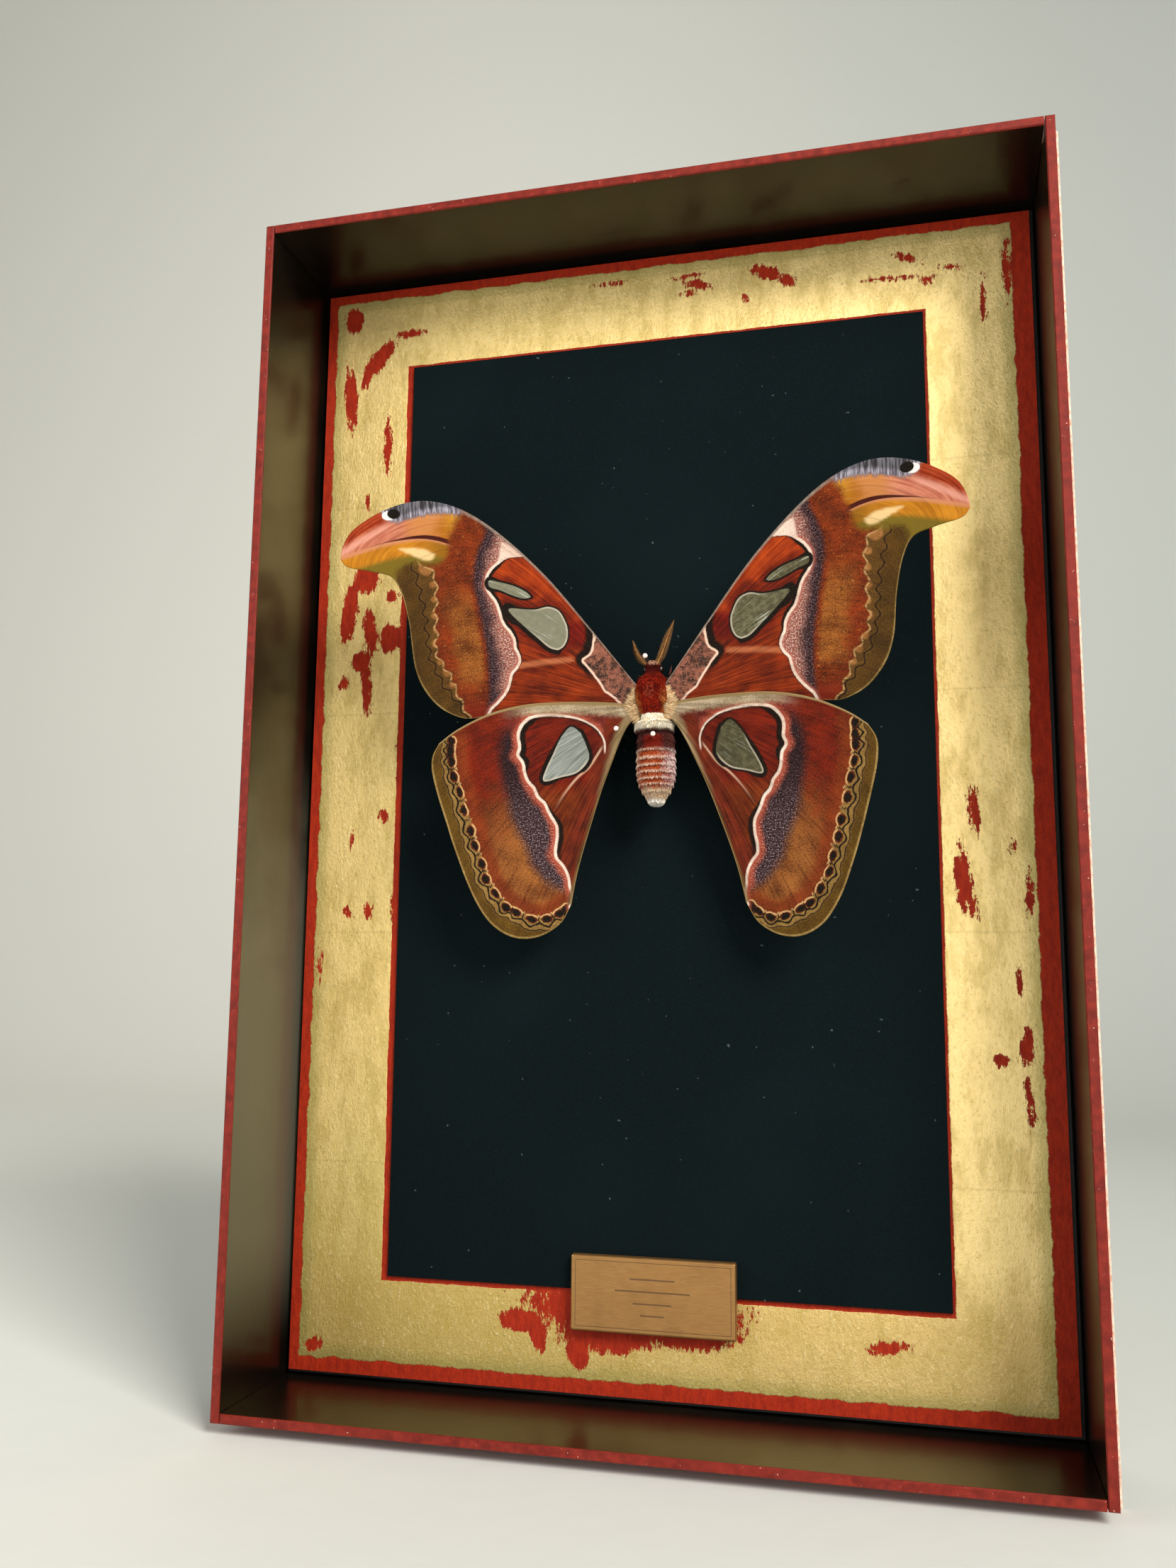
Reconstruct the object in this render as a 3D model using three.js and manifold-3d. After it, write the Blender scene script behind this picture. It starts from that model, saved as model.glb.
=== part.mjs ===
// An atlas moth, set with its wings spread, in an open upright tray case.
// Millimetres, +Z up. The case stands on z = 0 and its open front looks along -Y.
import * as THREE from 'three';
import { mergeVertices } from 'three/addons/utils/BufferGeometryUtils.js';
import Module from 'manifold-3d';

const wasm = await Module();
wasm.setup();

// Driving dimensions of the case
const gap = 0.3;
const cutGap = 0.4;
const tray = { width: 270, height: 408, wall: 3, inside: 44, proud: 15 };
const sleeveWall = { side: 2, end: 3.7 };
const panel = { board: 3, trayBack: 3, sleeveBack: 3, card: 1 };
const board = { width: 260, height: 397.4 };
const card = { width: 187.6, height: 331 };
const plaque = { width: 54.6, height: 24, thick: 3.4, x: -0.4, below: 165.8, bevel: 0.7 };
const edgeBreak = 0.35;

// Driving dimensions of the moth. Its own frame has x to the viewer's right, z up and
// "lift" as the height in front of the board.
const moth = { right: 2.4, aboveCentre: 31, turn: -0.5 };
const membrane = 0.6;
const vein = { halfWidth: 0.5, ridge: 0.34 };
const ringSides = 16;
const grain = 0.012;

// Places worked out from the sizes above
const outerHeight = tray.height + 2 * (gap + sleeveWall.end);
const outerWidth = tray.width + 2 * (gap + sleeveWall.side);
const depth = tray.inside + panel.board + panel.trayBack + panel.sleeveBack + 2 * gap;
const frontY = -depth / 2;
const boardFaceY = frontY + tray.inside;
const trayBackY = boardFaceY + panel.board + gap;
const trayEndY = trayBackY + panel.trayBack;
const sleeveFrontY = frontY + tray.proud;
const midZ = outerHeight / 2;
const cardFace = gap + panel.card;

const group = new THREE.Group();

function material(color, roughness, metalness = 0) {
  return new THREE.MeshStandardMaterial({ color, roughness, metalness });
}

const finish = {
  redLacquer: () => material(0x8c2a1c, 0.45),
  blackBoard: () => material(0x15130f, 0.6),
  gildedBoard: () => material(0xd2a95c, 0.35, 0.6),
  blackCard: () => material(0x121c1d, 0.9),
  brass: () => material(0xb08d5e, 0.4, 0.8),
  steel: () => material(0xd8d0c8, 0.3, 0.6),
  cork: () => material(0x3a2f24, 0.9),
  foreScales: () => material(0x9c4a26, 0.8),
  hindScales: () => material(0xa24c26, 0.8),
  redFur: () => material(0x7c1d10, 0.95),
  creamFur: () => material(0xe6dcc4, 0.95),
  bandedFur: () => material(0xa8482e, 0.95),
  combs: () => material(0x9a6a34, 0.8),
  eyes: () => material(0x15100d, 0.2),
  legs: () => material(0x74301f, 0.85),
};

function addNode(name, geometry, surface, parent = group) {
  const mesh = new THREE.Mesh(geometry, surface);
  mesh.name = name;
  parent.add(mesh);
  return mesh;
}

// Joining and cutting closed shapes

function toSolid(geometry) {
  const bare = geometry.clone();
  bare.deleteAttribute('normal');
  bare.deleteAttribute('uv');
  const merged = mergeVertices(bare, 1e-4);
  const mesh = new wasm.Mesh({
    numProp: 3,
    vertProperties: new Float32Array(merged.attributes.position.array),
    triVerts: new Uint32Array(merged.index.array),
  });
  return new wasm.Manifold(mesh);
}

// The largest closed surface of a solid, as a geometry. Edges shorter than the grain are
// closed up, as joining and cutting leave slivers.
function toGeometry(solid) {
  const pieces = solid.asOriginal().simplify(grain).decompose();
  let largest = pieces[0];
  for (const piece of pieces) {
    if (piece.volume() > largest.volume()) {
      largest = piece;
    }
  }
  const mesh = largest.getMesh();
  const geometry = new THREE.BufferGeometry();
  geometry.setAttribute('position', new THREE.BufferAttribute(mesh.vertProperties, 3));
  geometry.setIndex(new THREE.BufferAttribute(mesh.triVerts, 1));
  geometry.computeVertexNormals();
  return geometry;
}

function joined(geometries) {
  let solid = toSolid(geometries[0]);
  for (const geometry of geometries.slice(1)) {
    solid = solid.add(toSolid(geometry));
  }
  return solid;
}

// Shapes used for several pieces

// A board with its edges broken, lying between two corners
function boardBetween(low, high, bevel = edgeBreak) {
  const width = high[0] - low[0];
  const thick = high[1] - low[1];
  const height = high[2] - low[2];
  const outline = new THREE.Shape();
  outline.moveTo(-width / 2 + bevel, -height / 2 + bevel);
  outline.lineTo(width / 2 - bevel, -height / 2 + bevel);
  outline.lineTo(width / 2 - bevel, height / 2 - bevel);
  outline.lineTo(-width / 2 + bevel, height / 2 - bevel);
  outline.closePath();
  const geometry = new THREE.ExtrudeGeometry(outline, {
    depth: thick - 2 * bevel,
    bevelEnabled: true,
    bevelThickness: bevel,
    bevelSize: bevel,
    bevelSegments: 1,
  });
  geometry.rotateX(Math.PI / 2);
  geometry.translate((low[0] + high[0]) / 2, high[1] - bevel, (low[2] + high[2]) / 2);
  return geometry;
}

// A body turned about the z axis from pairs of height and radius, then made deeper in y
function turned(profile, centre, deeper = 1, grow = 0) {
  const last = profile.length - 1;
  const points = profile.map(([z, r], k) => {
    const [lowZ, lowR] = profile[Math.max(0, k - 1)];
    const [highZ, highR] = profile[Math.min(last, k + 1)];
    const outward = new THREE.Vector2(highZ - lowZ, lowR - highR).normalize();
    if (k === 0 || k === last) {
      return new THREE.Vector2(0, z + (k === 0 ? -grow : grow));
    }
    return new THREE.Vector2(r + grow * outward.x, z + grow * outward.y);
  });
  const geometry = new THREE.LatheGeometry(points, ringSides);
  geometry.rotateX(Math.PI / 2);
  geometry.scale(1, deeper, 1);
  geometry.translate(centre.x, centre.y, centre.z);
  return geometry;
}

// A point of the moth's own frame
function at(x, z, lift) {
  return new THREE.Vector3(x, -lift, z);
}

function ball(centre, radius, stretch = [1, 1, 1], sides = 12) {
  const geometry = new THREE.SphereGeometry(radius, sides, Math.round(sides * 0.7));
  geometry.scale(stretch[0], stretch[1], stretch[2]);
  geometry.translate(centre.x, centre.y, centre.z);
  return geometry;
}

// A round bar that tapers from one point to another
function bar(from, to, radiusFrom, radiusTo, sides = 6) {
  const along = to.clone().sub(from);
  const geometry = new THREE.CylinderGeometry(radiusTo, radiusFrom, along.length(), sides, 1);
  const upright = new THREE.Vector3(0, 1, 0);
  const turn = new THREE.Quaternion().setFromUnitVectors(upright, along.clone().normalize());
  geometry.applyQuaternion(turn);
  const middle = from.clone().add(to).multiplyScalar(0.5);
  geometry.translate(middle.x, middle.y, middle.z);
  return geometry;
}

// The case: a shallow tray, red on its front edges, set in an outer sleeve of plain board.
// Side boards run full height and the top and bottom ones butt between them.
function addFrameBoards(prefix, halfWidth, lowZ, highZ, wall, nearY, farY, surface) {
  for (const [side, sign] of [['left', -1], ['right', 1]]) {
    const inner = sign * (halfWidth - wall.side);
    const outer = sign * halfWidth;
    const low = [Math.min(inner, outer), nearY, lowZ];
    const high = [Math.max(inner, outer), farY, highZ];
    addNode(`${prefix}_${side}`, boardBetween(low, high), surface());
  }
  const reach = halfWidth - wall.side - gap;
  addNode(`${prefix}_bottom`, boardBetween([-reach, nearY, lowZ], [reach, farY, lowZ + wall.end]), surface());
  addNode(`${prefix}_top`, boardBetween([-reach, nearY, highZ - wall.end], [reach, farY, highZ]), surface());
}

function addCase() {
  const trayLow = sleeveWall.end + gap;
  const trayHigh = outerHeight - trayLow;
  const trayWall = { side: tray.wall, end: tray.wall };
  const sleeveX = outerWidth / 2;
  addFrameBoards('tray', tray.width / 2, trayLow, trayHigh, trayWall, frontY, trayEndY, finish.redLacquer);
  addFrameBoards('sleeve', sleeveX, 0, outerHeight, sleeveWall, sleeveFrontY, trayEndY, finish.blackBoard);
  const backReach = tray.width / 2 - tray.wall - gap;
  const backRise = tray.height / 2 - tray.wall - gap;
  const backLow = [-backReach, trayBackY, midZ - backRise];
  const trayBack = boardBetween(backLow, [backReach, trayEndY, midZ + backRise]);
  addNode('tray_back', trayBack, finish.blackBoard());
  const sleeveBack = boardBetween([-sleeveX, trayEndY + gap, 0], [sleeveX, depth / 2, outerHeight]);
  addNode('sleeve_back', sleeveBack, finish.blackBoard());
}

function addMount() {
  const low = [-board.width / 2, boardFaceY, midZ - board.height / 2];
  const high = [board.width / 2, boardFaceY + panel.board, midZ + board.height / 2];
  addNode('mount_board', boardBetween(low, high), finish.gildedBoard());
  const cardLow = [-card.width / 2, boardFaceY - cardFace, midZ - card.height / 2];
  const cardHigh = [card.width / 2, boardFaceY - gap, midZ + card.height / 2];
  addNode('black_card', boardBetween(cardLow, cardHigh, 0.15), finish.blackCard());
  const plateBack = boardFaceY - cardFace - gap;
  const plateZ = midZ - plaque.below;
  const plateLow = [plaque.x - plaque.width / 2, plateBack - plaque.thick, plateZ - plaque.height / 2];
  const plateHigh = [plaque.x + plaque.width / 2, plateBack, plateZ + plaque.height / 2];
  addNode('plaque', boardBetween(plateLow, plateHigh, plaque.bevel), finish.brass());
}

// The moth hangs in a group of its own, turned by half a degree as it was set
const specimen = new THREE.Group();
specimen.position.set(moth.right, boardFaceY, midZ + moth.aboveCentre);
specimen.rotation.y = THREE.MathUtils.degToRad(moth.turn);
group.add(specimen);

// The body, as centres in the moth's frame and profiles of height and radius
const thorax = {
  centre: at(0, -0.3, 19),
  deeper: 1.12,
  profile: [[-6.4, 0], [-6.2, 4.6], [-5, 5.4], [-2.4, 5.7], [0.6, 5.6], [3.2, 5.0], [5.2, 3.8], [6.5, 2.2],
    [7, 0]],
};
const collar = {
  centre: at(0.4, -9.9, 19),
  deeper: 1.04,
  profile: [[-2.8, 0], [-2.6, 5.5], [-1.2, 6.3], [1, 6.3], [2.3, 5.6], [2.7, 4.6], [2.8, 0]],
};
const abdomen = { centre: at(0.9, -13.1, 18.6), length: 25.2, radius: 6.75, rings: 7, step: 0.4 };
const head = { centre: at(0, 8.3, 17.6), radius: 2.7 };

// Rings that overlap like tiles, full to the middle and narrowing to a blunt tip
function abdomenProfile() {
  const points = [[-abdomen.length, 0]];
  for (let ring = abdomen.rings; ring > 0; ring -= 1) {
    const far = ring / abdomen.rings;
    const near = (ring - 1) / abdomen.rings;
    const full = (t) => abdomen.radius * Math.sqrt(Math.max(0, 1 - Math.pow(t, 3.4))) * (0.94 + 0.1 * t);
    if (ring === abdomen.rings) {
      points.push([-abdomen.length * 0.985, 2.2]);
    } else {
      points.push([-abdomen.length * far, full(far)]);
    }
    points.push([-abdomen.length * (near + 0.02), full(near + 0.02) - (near > 0 ? abdomen.step : 0)]);
  }
  points.push([0, 5.4]);
  points.push([0.1, 0]);
  return points;
}

const thoraxShape = (grow = 0) => turned(thorax.profile, thorax.centre, thorax.deeper, grow);
const collarShape = (grow = 0) => turned(collar.profile, collar.centre, collar.deeper, grow);
const abdomenShape = (grow = 0) => turned(abdomenProfile(), abdomen.centre, 1, grow);
const headShape = (grow = 0) => ball(head.centre, head.radius + grow, [1, 1.05, 0.95], 12);

// Fine pins with a pale ball head: one in front of the head, one through the first ring of the
// abdomen and one through the root of the left hindwing, in two lengths over and under the wing
const pin = { radius: 0.25, head: 0.9 };
const pinStart = cardFace + gap;
const wingPin = { x: -11.4, z: -12.6, top: 24.2, under: 20.2, over: 22.6 };
const pinPlaces = [
  { name: 'pin_head', x: -1.5, z: 11.6, from: pinStart, top: 24 },
  { name: 'pin_abdomen', x: 1.5, z: -15.4, from: pinStart, top: 28 },
  { name: 'pin_hindwing', x: wingPin.x, z: wingPin.z, from: wingPin.over, top: wingPin.top },
];

function pinShaft(x, z, from, to, radius = pin.radius) {
  return bar(at(x, z, from), at(x, z, to), radius, radius, 8);
}

function addPins() {
  for (const { name, x, z, from, top } of pinPlaces) {
    const bead = ball(at(x, z, top), pin.head, [1, 1, 1], 10);
    addNode(name, toGeometry(joined([pinShaft(x, z, from, top), bead])), finish.steel(), specimen);
  }
  const lower = pinShaft(wingPin.x, wingPin.z, pinStart, wingPin.under);
  addNode('pin_hindwing_shaft', lower, finish.steel(), specimen);
}

// A hidden cork post carries the thorax off the card
const post = { x: 0, z: -1, radius: 1.7, lift: 16 };

function addPost() {
  const foot = at(post.x, post.z, cardFace + gap);
  const stem = toSolid(bar(foot, at(post.x, post.z, post.lift), post.radius, post.radius, 12));
  addNode('support_post', toGeometry(stem.subtract(toSolid(thoraxShape(cutGap)))), finish.cork(), specimen);
}

// The head has two short palps, a bulging eye on each side and the combed antennae in front
function addHead() {
  const parts = [headShape()];
  for (const sign of [-1, 1]) {
    parts.push(bar(at(sign * 0.7, 9.4, 16.4), at(sign * 0.5, 11, 14.2), 0.6, 0.3, 6));
  }
  const skull = joined(parts).subtract(toSolid(thoraxShape(cutGap)));
  addNode('head', toGeometry(skull), finish.redFur(), specimen);
  for (const [side, sign] of [['left', -1], ['right', 1]]) {
    const eye = toSolid(ball(at(sign * 2.45, 8.3, 17.2), 1.35, [0.9, 1, 1], 10));
    const clear = toSolid(headShape(cutGap)).add(toSolid(thoraxShape(cutGap)));
    addNode(`eye_${side}`, toGeometry(eye.subtract(clear)), finish.eyes(), specimen);
  }
}

// Each antenna is a bent stem with a comb of rami on both sides, longest at a third of its length
const comb = { pairs: 14, reach: 2.4, sweep: 0.7, root: 0.34 };
const antennae = [
  { side: 'left', line: [at(-1, 9.4, 18.2), at(-4.4, 12, 17.2), at(-6.8, 15.6, 14.8), at(-8.8, 21, 10)] },
  { side: 'right', line: [at(1, 9.4, 18.6), at(3, 12.4, 19.4), at(5, 16.8, 20.8), at(8.2, 23.7, 22.6)] },
];

function antennaShape(line, facing) {
  const stem = new THREE.CatmullRomCurve3(line);
  const steps = 5;
  const parts = [];
  for (let k = 0; k < steps; k += 1) {
    const from = stem.getPointAt(Math.max(0, k / steps - 0.01));
    const to = stem.getPointAt(Math.min(1, (k + 1) / steps));
    const thick = (t) => 0.5 - 0.2 * t;
    parts.push(bar(from, to, thick(k / steps), thick((k + 1) / steps), 5));
  }
  for (let k = 0; k < comb.pairs; k += 1) {
    const t = 0.1 + 0.84 * (k / (comb.pairs - 1));
    const root = stem.getPointAt(t);
    const along = stem.getTangentAt(t);
    const across = new THREE.Vector3().crossVectors(along, facing).normalize();
    const reach = comb.reach * Math.pow(Math.sin(Math.PI * Math.pow(Math.min(t + 0.04, 1), 0.62)), 0.7);
    for (const sign of [-1, 1]) {
      const tip = root.clone().addScaledVector(across, sign * reach);
      tip.addScaledVector(along, comb.sweep * reach);
      parts.push(bar(root, tip, comb.root, 0, 3));
    }
  }
  return joined(parts);
}

function addAntennae() {
  const facings = { left: new THREE.Vector3(-0.75, -0.66, 0), right: new THREE.Vector3(0.1, -1, 0.1) };
  const clear = toSolid(headShape(cutGap)).add(toSolid(thoraxShape(cutGap)));
  for (const { side, line } of antennae) {
    const shape = antennaShape(line, facings[side]).subtract(clear);
    addNode(`antenna_${side}`, toGeometry(shape), finish.combs(), specimen);
  }
}

function addBody() {
  addNode('thorax', thoraxShape(), finish.redFur(), specimen);
  const ruff = toSolid(collarShape()).subtract(toSolid(thoraxShape(cutGap)));
  addNode('collar', toGeometry(ruff), finish.creamFur(), specimen);
  const { x, z, from, top } = pinPlaces[1];
  const hole = toSolid(pinShaft(x, z, from, top, pin.radius + cutGap));
  const belly = toSolid(abdomenShape()).subtract(toSolid(collarShape(cutGap))).subtract(hole);
  addNode('abdomen', toGeometry(belly), finish.bandedFur(), specimen);
}

// Six legs folded under the thorax: thigh out, shin back in, foot along the body. The joints are
// hip, knee, heel and toe, each as x, z and lift.
const legs = [
  { name: 'foreleg', joints: [[2.6, 4.2, 14.6], [6.2, 7.2, 11], [3.4, 8.6, 6.4], [3.8, 12.4, 4.4]] },
  { name: 'midleg', joints: [[3.2, 0.6, 14.4], [8.6, 1.6, 10], [5.0, 2.4, 5.4], [4.4, 7.4, 4]] },
  { name: 'hindleg', joints: [[3.0, -3.4, 14.4], [8.0, -5.4, 10], [4.6, -8.4, 5.6], [3.8, -13.2, 4]] },
];

function addLegs() {
  const clear = toSolid(thoraxShape(cutGap)).add(toSolid(headShape(cutGap)));
  for (const leg of legs) {
    for (const [side, sign] of [['left', -1], ['right', 1]]) {
      const [hip, knee, heel, toe] = leg.joints.map(([x, z, lift]) => at(sign * x, z, lift));
      const parts = [
        bar(hip, knee, 0.85, 0.6, 6),
        ball(knee, 0.66, [1, 1, 1], 6),
        bar(knee, heel, 0.6, 0.42, 6),
        ball(heel, 0.46, [1, 1, 1], 6),
        bar(heel, toe, 0.42, 0.27, 5),
      ];
      addNode(`${leg.name}_${side}`, toGeometry(joined(parts).subtract(clear)), finish.legs(), specimen);
    }
  }
}

// The wings. Each outline is three smooth runs in plan, as pairs of x and z: the leading edge from
// the root to the tip, the outer margin from the tip to the rear corner, and the inner edge from
// the root to that corner. lift gives how far the membrane stands off the board.
const wings = [
  {
    name: 'forewing',
    lead: [[3, 0], [7, 5], [20, 21.9], [35, 40.5], [50, 55], [60, 62.1], [68, 65.5], [76, 66.6], [85, 64.9],
      [94, 60.6], [100.4, 55.4], [103.2, 49.4], [103.5, 46.8]],
    outer: [[103.5, 46.8], [101.6, 44.6], [93.6, 42.8], [86.6, 40.8], [83.4, 35.4], [81, 25], [79.3, 10],
      [76.4, 2.4], [70.6, -4.2], [63, -7.5], [57.4, -7]],
    inner: [[3, -4], [14, -7.2], [30, -8.8], [45, -8.6], [57.4, -7]],
    lift: (x, z) => 21 + 5.4 * x + 3.9 * z + 1.1 * x * x + 1.25 * x * z,
    costa: 0.5,
    veins: [[0.13, 0], [0.27, 0.42], [0.39, 0.46], [0.51, 0.44], [0.63, 0.36], [0.76, 0], [0.89, 0]],
  },
  {
    name: 'hindwing',
    lead: [[3, -5.4], [10, -4.1], [28, -3.5], [42, -4.3], [54, -7.2], [65, -12.4], [70.6, -16.4]],
    outer: [[70.6, -16.4], [73.2, -21], [73.3, -27], [69.4, -43], [64.8, -58], [59.8, -70.2], [54.4, -77.6],
      [47.6, -81.2], [40.4, -80.8], [33.4, -76.6], [29.4, -70]],
    inner: [[3, -8], [7.4, -10.2], [15, -25], [21.5, -42], [26.7, -58], [28.6, -66], [29.4, -70]],
    lift: (x, z) => 23.2 + 10.2 * x + 18 * z - 0.8 * x * x - 3.8 * x * z + 3.5 * z * z,
    costa: 0.3,
    veins: [[0.1, 0], [0.22, 0], [0.35, 0.38], [0.48, 0.42], [0.62, 0.38], [0.76, 0], [0.9, 0]],
  },
];
const alongSteps = 18;
const liftScale = 50;

function planCurve(points) {
  const places = points.map(([x, z]) => new THREE.Vector3(x, 0, z));
  return new THREE.CatmullRomCurve3(places, false, 'centripetal');
}

// A patch between the four edges: u runs from the root to the outer margin, v from the leading
// edge to the inner one
function planPatch(wing) {
  const [lead, outer, inner] = [wing.lead, wing.outer, wing.inner].map(planCurve);
  const rootLead = lead.getPointAt(0);
  const rootInner = inner.getPointAt(0);
  const tip = lead.getPointAt(1);
  const corner = inner.getPointAt(1);
  return (u, v) => {
    const point = new THREE.Vector3();
    point.addScaledVector(lead.getPointAt(u), 1 - v).addScaledVector(inner.getPointAt(u), v);
    point.addScaledVector(rootLead.clone().lerp(rootInner, v), 1 - u);
    point.addScaledVector(outer.getPointAt(v), u);
    point.addScaledVector(rootLead, -(1 - u) * (1 - v)).addScaledVector(rootInner, -(1 - u) * v);
    point.addScaledVector(tip, -u * (1 - v)).addScaledVector(corner, -u * v);
    return point;
  };
}

function smooth(low, high, value) {
  const t = Math.min(1, Math.max(0, (value - low) / (high - low)));
  return t * t * (3 - 2 * t);
}

// Rows across the wing: both edges, and for each vein its crest and two feet. The feet keep to the
// vein and spread evenly at the margin, where the ridge runs out.
function wingRows(wing, patch, u) {
  const rows = [{ v: 0, ridge: wing.costa * (1 - 0.8 * u) }];
  const marks = [0, ...wing.veins.map(([v]) => v), 1];
  wing.veins.forEach(([v, start], k) => {
    const before = (v - marks[k]) / 3;
    const after = (marks[k + 2] - v) / 3;
    const width = patch(u, v + 0.01).distanceTo(patch(u, v - 0.01)) / 0.02;
    const foot = Math.min(vein.halfWidth / width, before * 0.95, after * 0.95);
    const spread = smooth(0.72, 1, u);
    const ridge = vein.ridge * smooth(start - 0.02, start + 0.1, u) * (1 - 0.8 * smooth(0.6, 1, u));
    rows.push({ v: v - THREE.MathUtils.lerp(foot, before, spread), ridge: 0 });
    rows.push({ v, ridge });
    rows.push({ v: v + THREE.MathUtils.lerp(foot, after, spread), ridge: 0 });
  });
  rows.push({ v: 1, ridge: 0 });
  return rows;
}

function wingShape(wing, sign) {
  const patch = planPatch(wing);
  const grid = [];
  for (let k = 0; k <= alongSteps; k += 1) {
    const u = 1 - Math.pow(1 - k / alongSteps, 1.3);
    const line = wingRows(wing, patch, u).map(({ v, ridge }) => {
      const plan = patch(u, v);
      return { plan, lift: wing.lift(plan.x / liftScale, plan.z / liftScale), half: membrane / 2 + ridge };
    });
    grid.push(line);
  }
  const across = grid[0].length;
  const positions = [];
  for (const face of [1, -1]) {
    for (const line of grid) {
      for (const { plan, lift, half } of line) {
        positions.push(sign * plan.x, -(lift + face * half), plan.z);
      }
    }
  }
  const index = [];
  const back = grid.length * across;
  const flip = sign < 0;
  const triangle = (a, b, c) => index.push(...(flip ? [a, c, b] : [a, b, c]));
  for (let i = 0; i + 1 < grid.length; i += 1) {
    for (let j = 0; j + 1 < across; j += 1) {
      const a = i * across + j;
      const [b, c, d] = [a + across, a + across + 1, a + 1];
      triangle(a, c, b);
      triangle(a, d, c);
      triangle(back + a, back + b, back + c);
      triangle(back + a, back + c, back + d);
    }
  }
  const rim = [];
  for (let i = 0; i + 1 < grid.length; i += 1) {
    rim.push([i * across, (i + 1) * across]);
    rim.push([(i + 2) * across - 1, (i + 1) * across - 1]);
  }
  for (let j = 0; j + 1 < across; j += 1) {
    rim.push([j + 1, j]);
    rim.push([(grid.length - 1) * across + j, (grid.length - 1) * across + j + 1]);
  }
  for (const [a, b] of rim) {
    triangle(a, b, back + b);
    triangle(a, back + b, back + a);
  }
  const geometry = new THREE.BufferGeometry();
  geometry.setAttribute('position', new THREE.Float32BufferAttribute(positions, 3));
  geometry.setIndex(index);
  return geometry;
}

function addWings() {
  const trunk = toSolid(thoraxShape(cutGap)).add(toSolid(collarShape(cutGap)));
  const body = trunk.add(toSolid(abdomenShape(cutGap)));
  const surfaces = { forewing: finish.foreScales, hindwing: finish.hindScales };
  for (const wing of wings) {
    for (const [side, sign] of [['left', -1], ['right', 1]]) {
      const shape = toSolid(wingShape(wing, sign)).subtract(body);
      addNode(`${wing.name}_${side}`, toGeometry(shape), surfaces[wing.name](), specimen);
    }
  }
}

addCase();
addMount();
addBody();
addHead();
addAntennae();
addLegs();
addWings();
addPins();
addPost();

export default group;
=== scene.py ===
import math

import bmesh
import bpy
import numpy as np
from mathutils import Euler, Matrix, Vector


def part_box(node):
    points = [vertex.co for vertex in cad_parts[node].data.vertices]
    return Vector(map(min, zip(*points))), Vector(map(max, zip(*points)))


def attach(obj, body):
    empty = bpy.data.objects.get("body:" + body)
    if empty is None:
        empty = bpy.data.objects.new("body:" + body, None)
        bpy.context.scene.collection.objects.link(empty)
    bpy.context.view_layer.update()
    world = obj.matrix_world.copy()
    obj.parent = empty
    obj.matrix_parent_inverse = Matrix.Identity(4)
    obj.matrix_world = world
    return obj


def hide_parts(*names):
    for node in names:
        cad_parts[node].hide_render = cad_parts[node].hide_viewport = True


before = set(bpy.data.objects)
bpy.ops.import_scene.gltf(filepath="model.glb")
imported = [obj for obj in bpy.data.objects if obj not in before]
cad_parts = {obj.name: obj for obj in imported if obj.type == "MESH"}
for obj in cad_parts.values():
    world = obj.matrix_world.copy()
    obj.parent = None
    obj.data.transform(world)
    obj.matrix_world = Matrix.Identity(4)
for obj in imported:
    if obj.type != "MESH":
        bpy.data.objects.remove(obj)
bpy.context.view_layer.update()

# An atlas moth, set with its wings spread, in an open upright tray case. Everything is in metres
# in the frame of the solids; sizes on the moth are given in millimetres and brought over by MM.
MM = 0.001

# The camera stands low and to the right of the case, a good forearm's length in front of it,
# and looks up at the specimen with a phone's wide lens.
camera = bpy.data.objects.new('camera', bpy.data.cameras.new('camera'))
camera.location = (0.08896, -0.42916, 0.14317)
camera.rotation_euler = Euler([math.radians(turn) for turn in (98.457, -0.495, 14.189)])
camera.data.lens = 30.5
camera.data.sensor_width = 36
bpy.context.collection.objects.link(camera)
bpy.context.scene.camera = camera
bpy.context.scene.view_settings.view_transform = 'Standard'


# The studio: one pale sheet that runs from the floor up into a far wall in a wide bend, a large
# soft window light high on the right, and weaker light from the left and from all round.
def calculation(operation):
    """A method that puts a maths node after a value."""
    def method(value, *others):
        return value.finish.node('ShaderNodeMath', {'operation': operation}, (value, *others))
    return method


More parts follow.
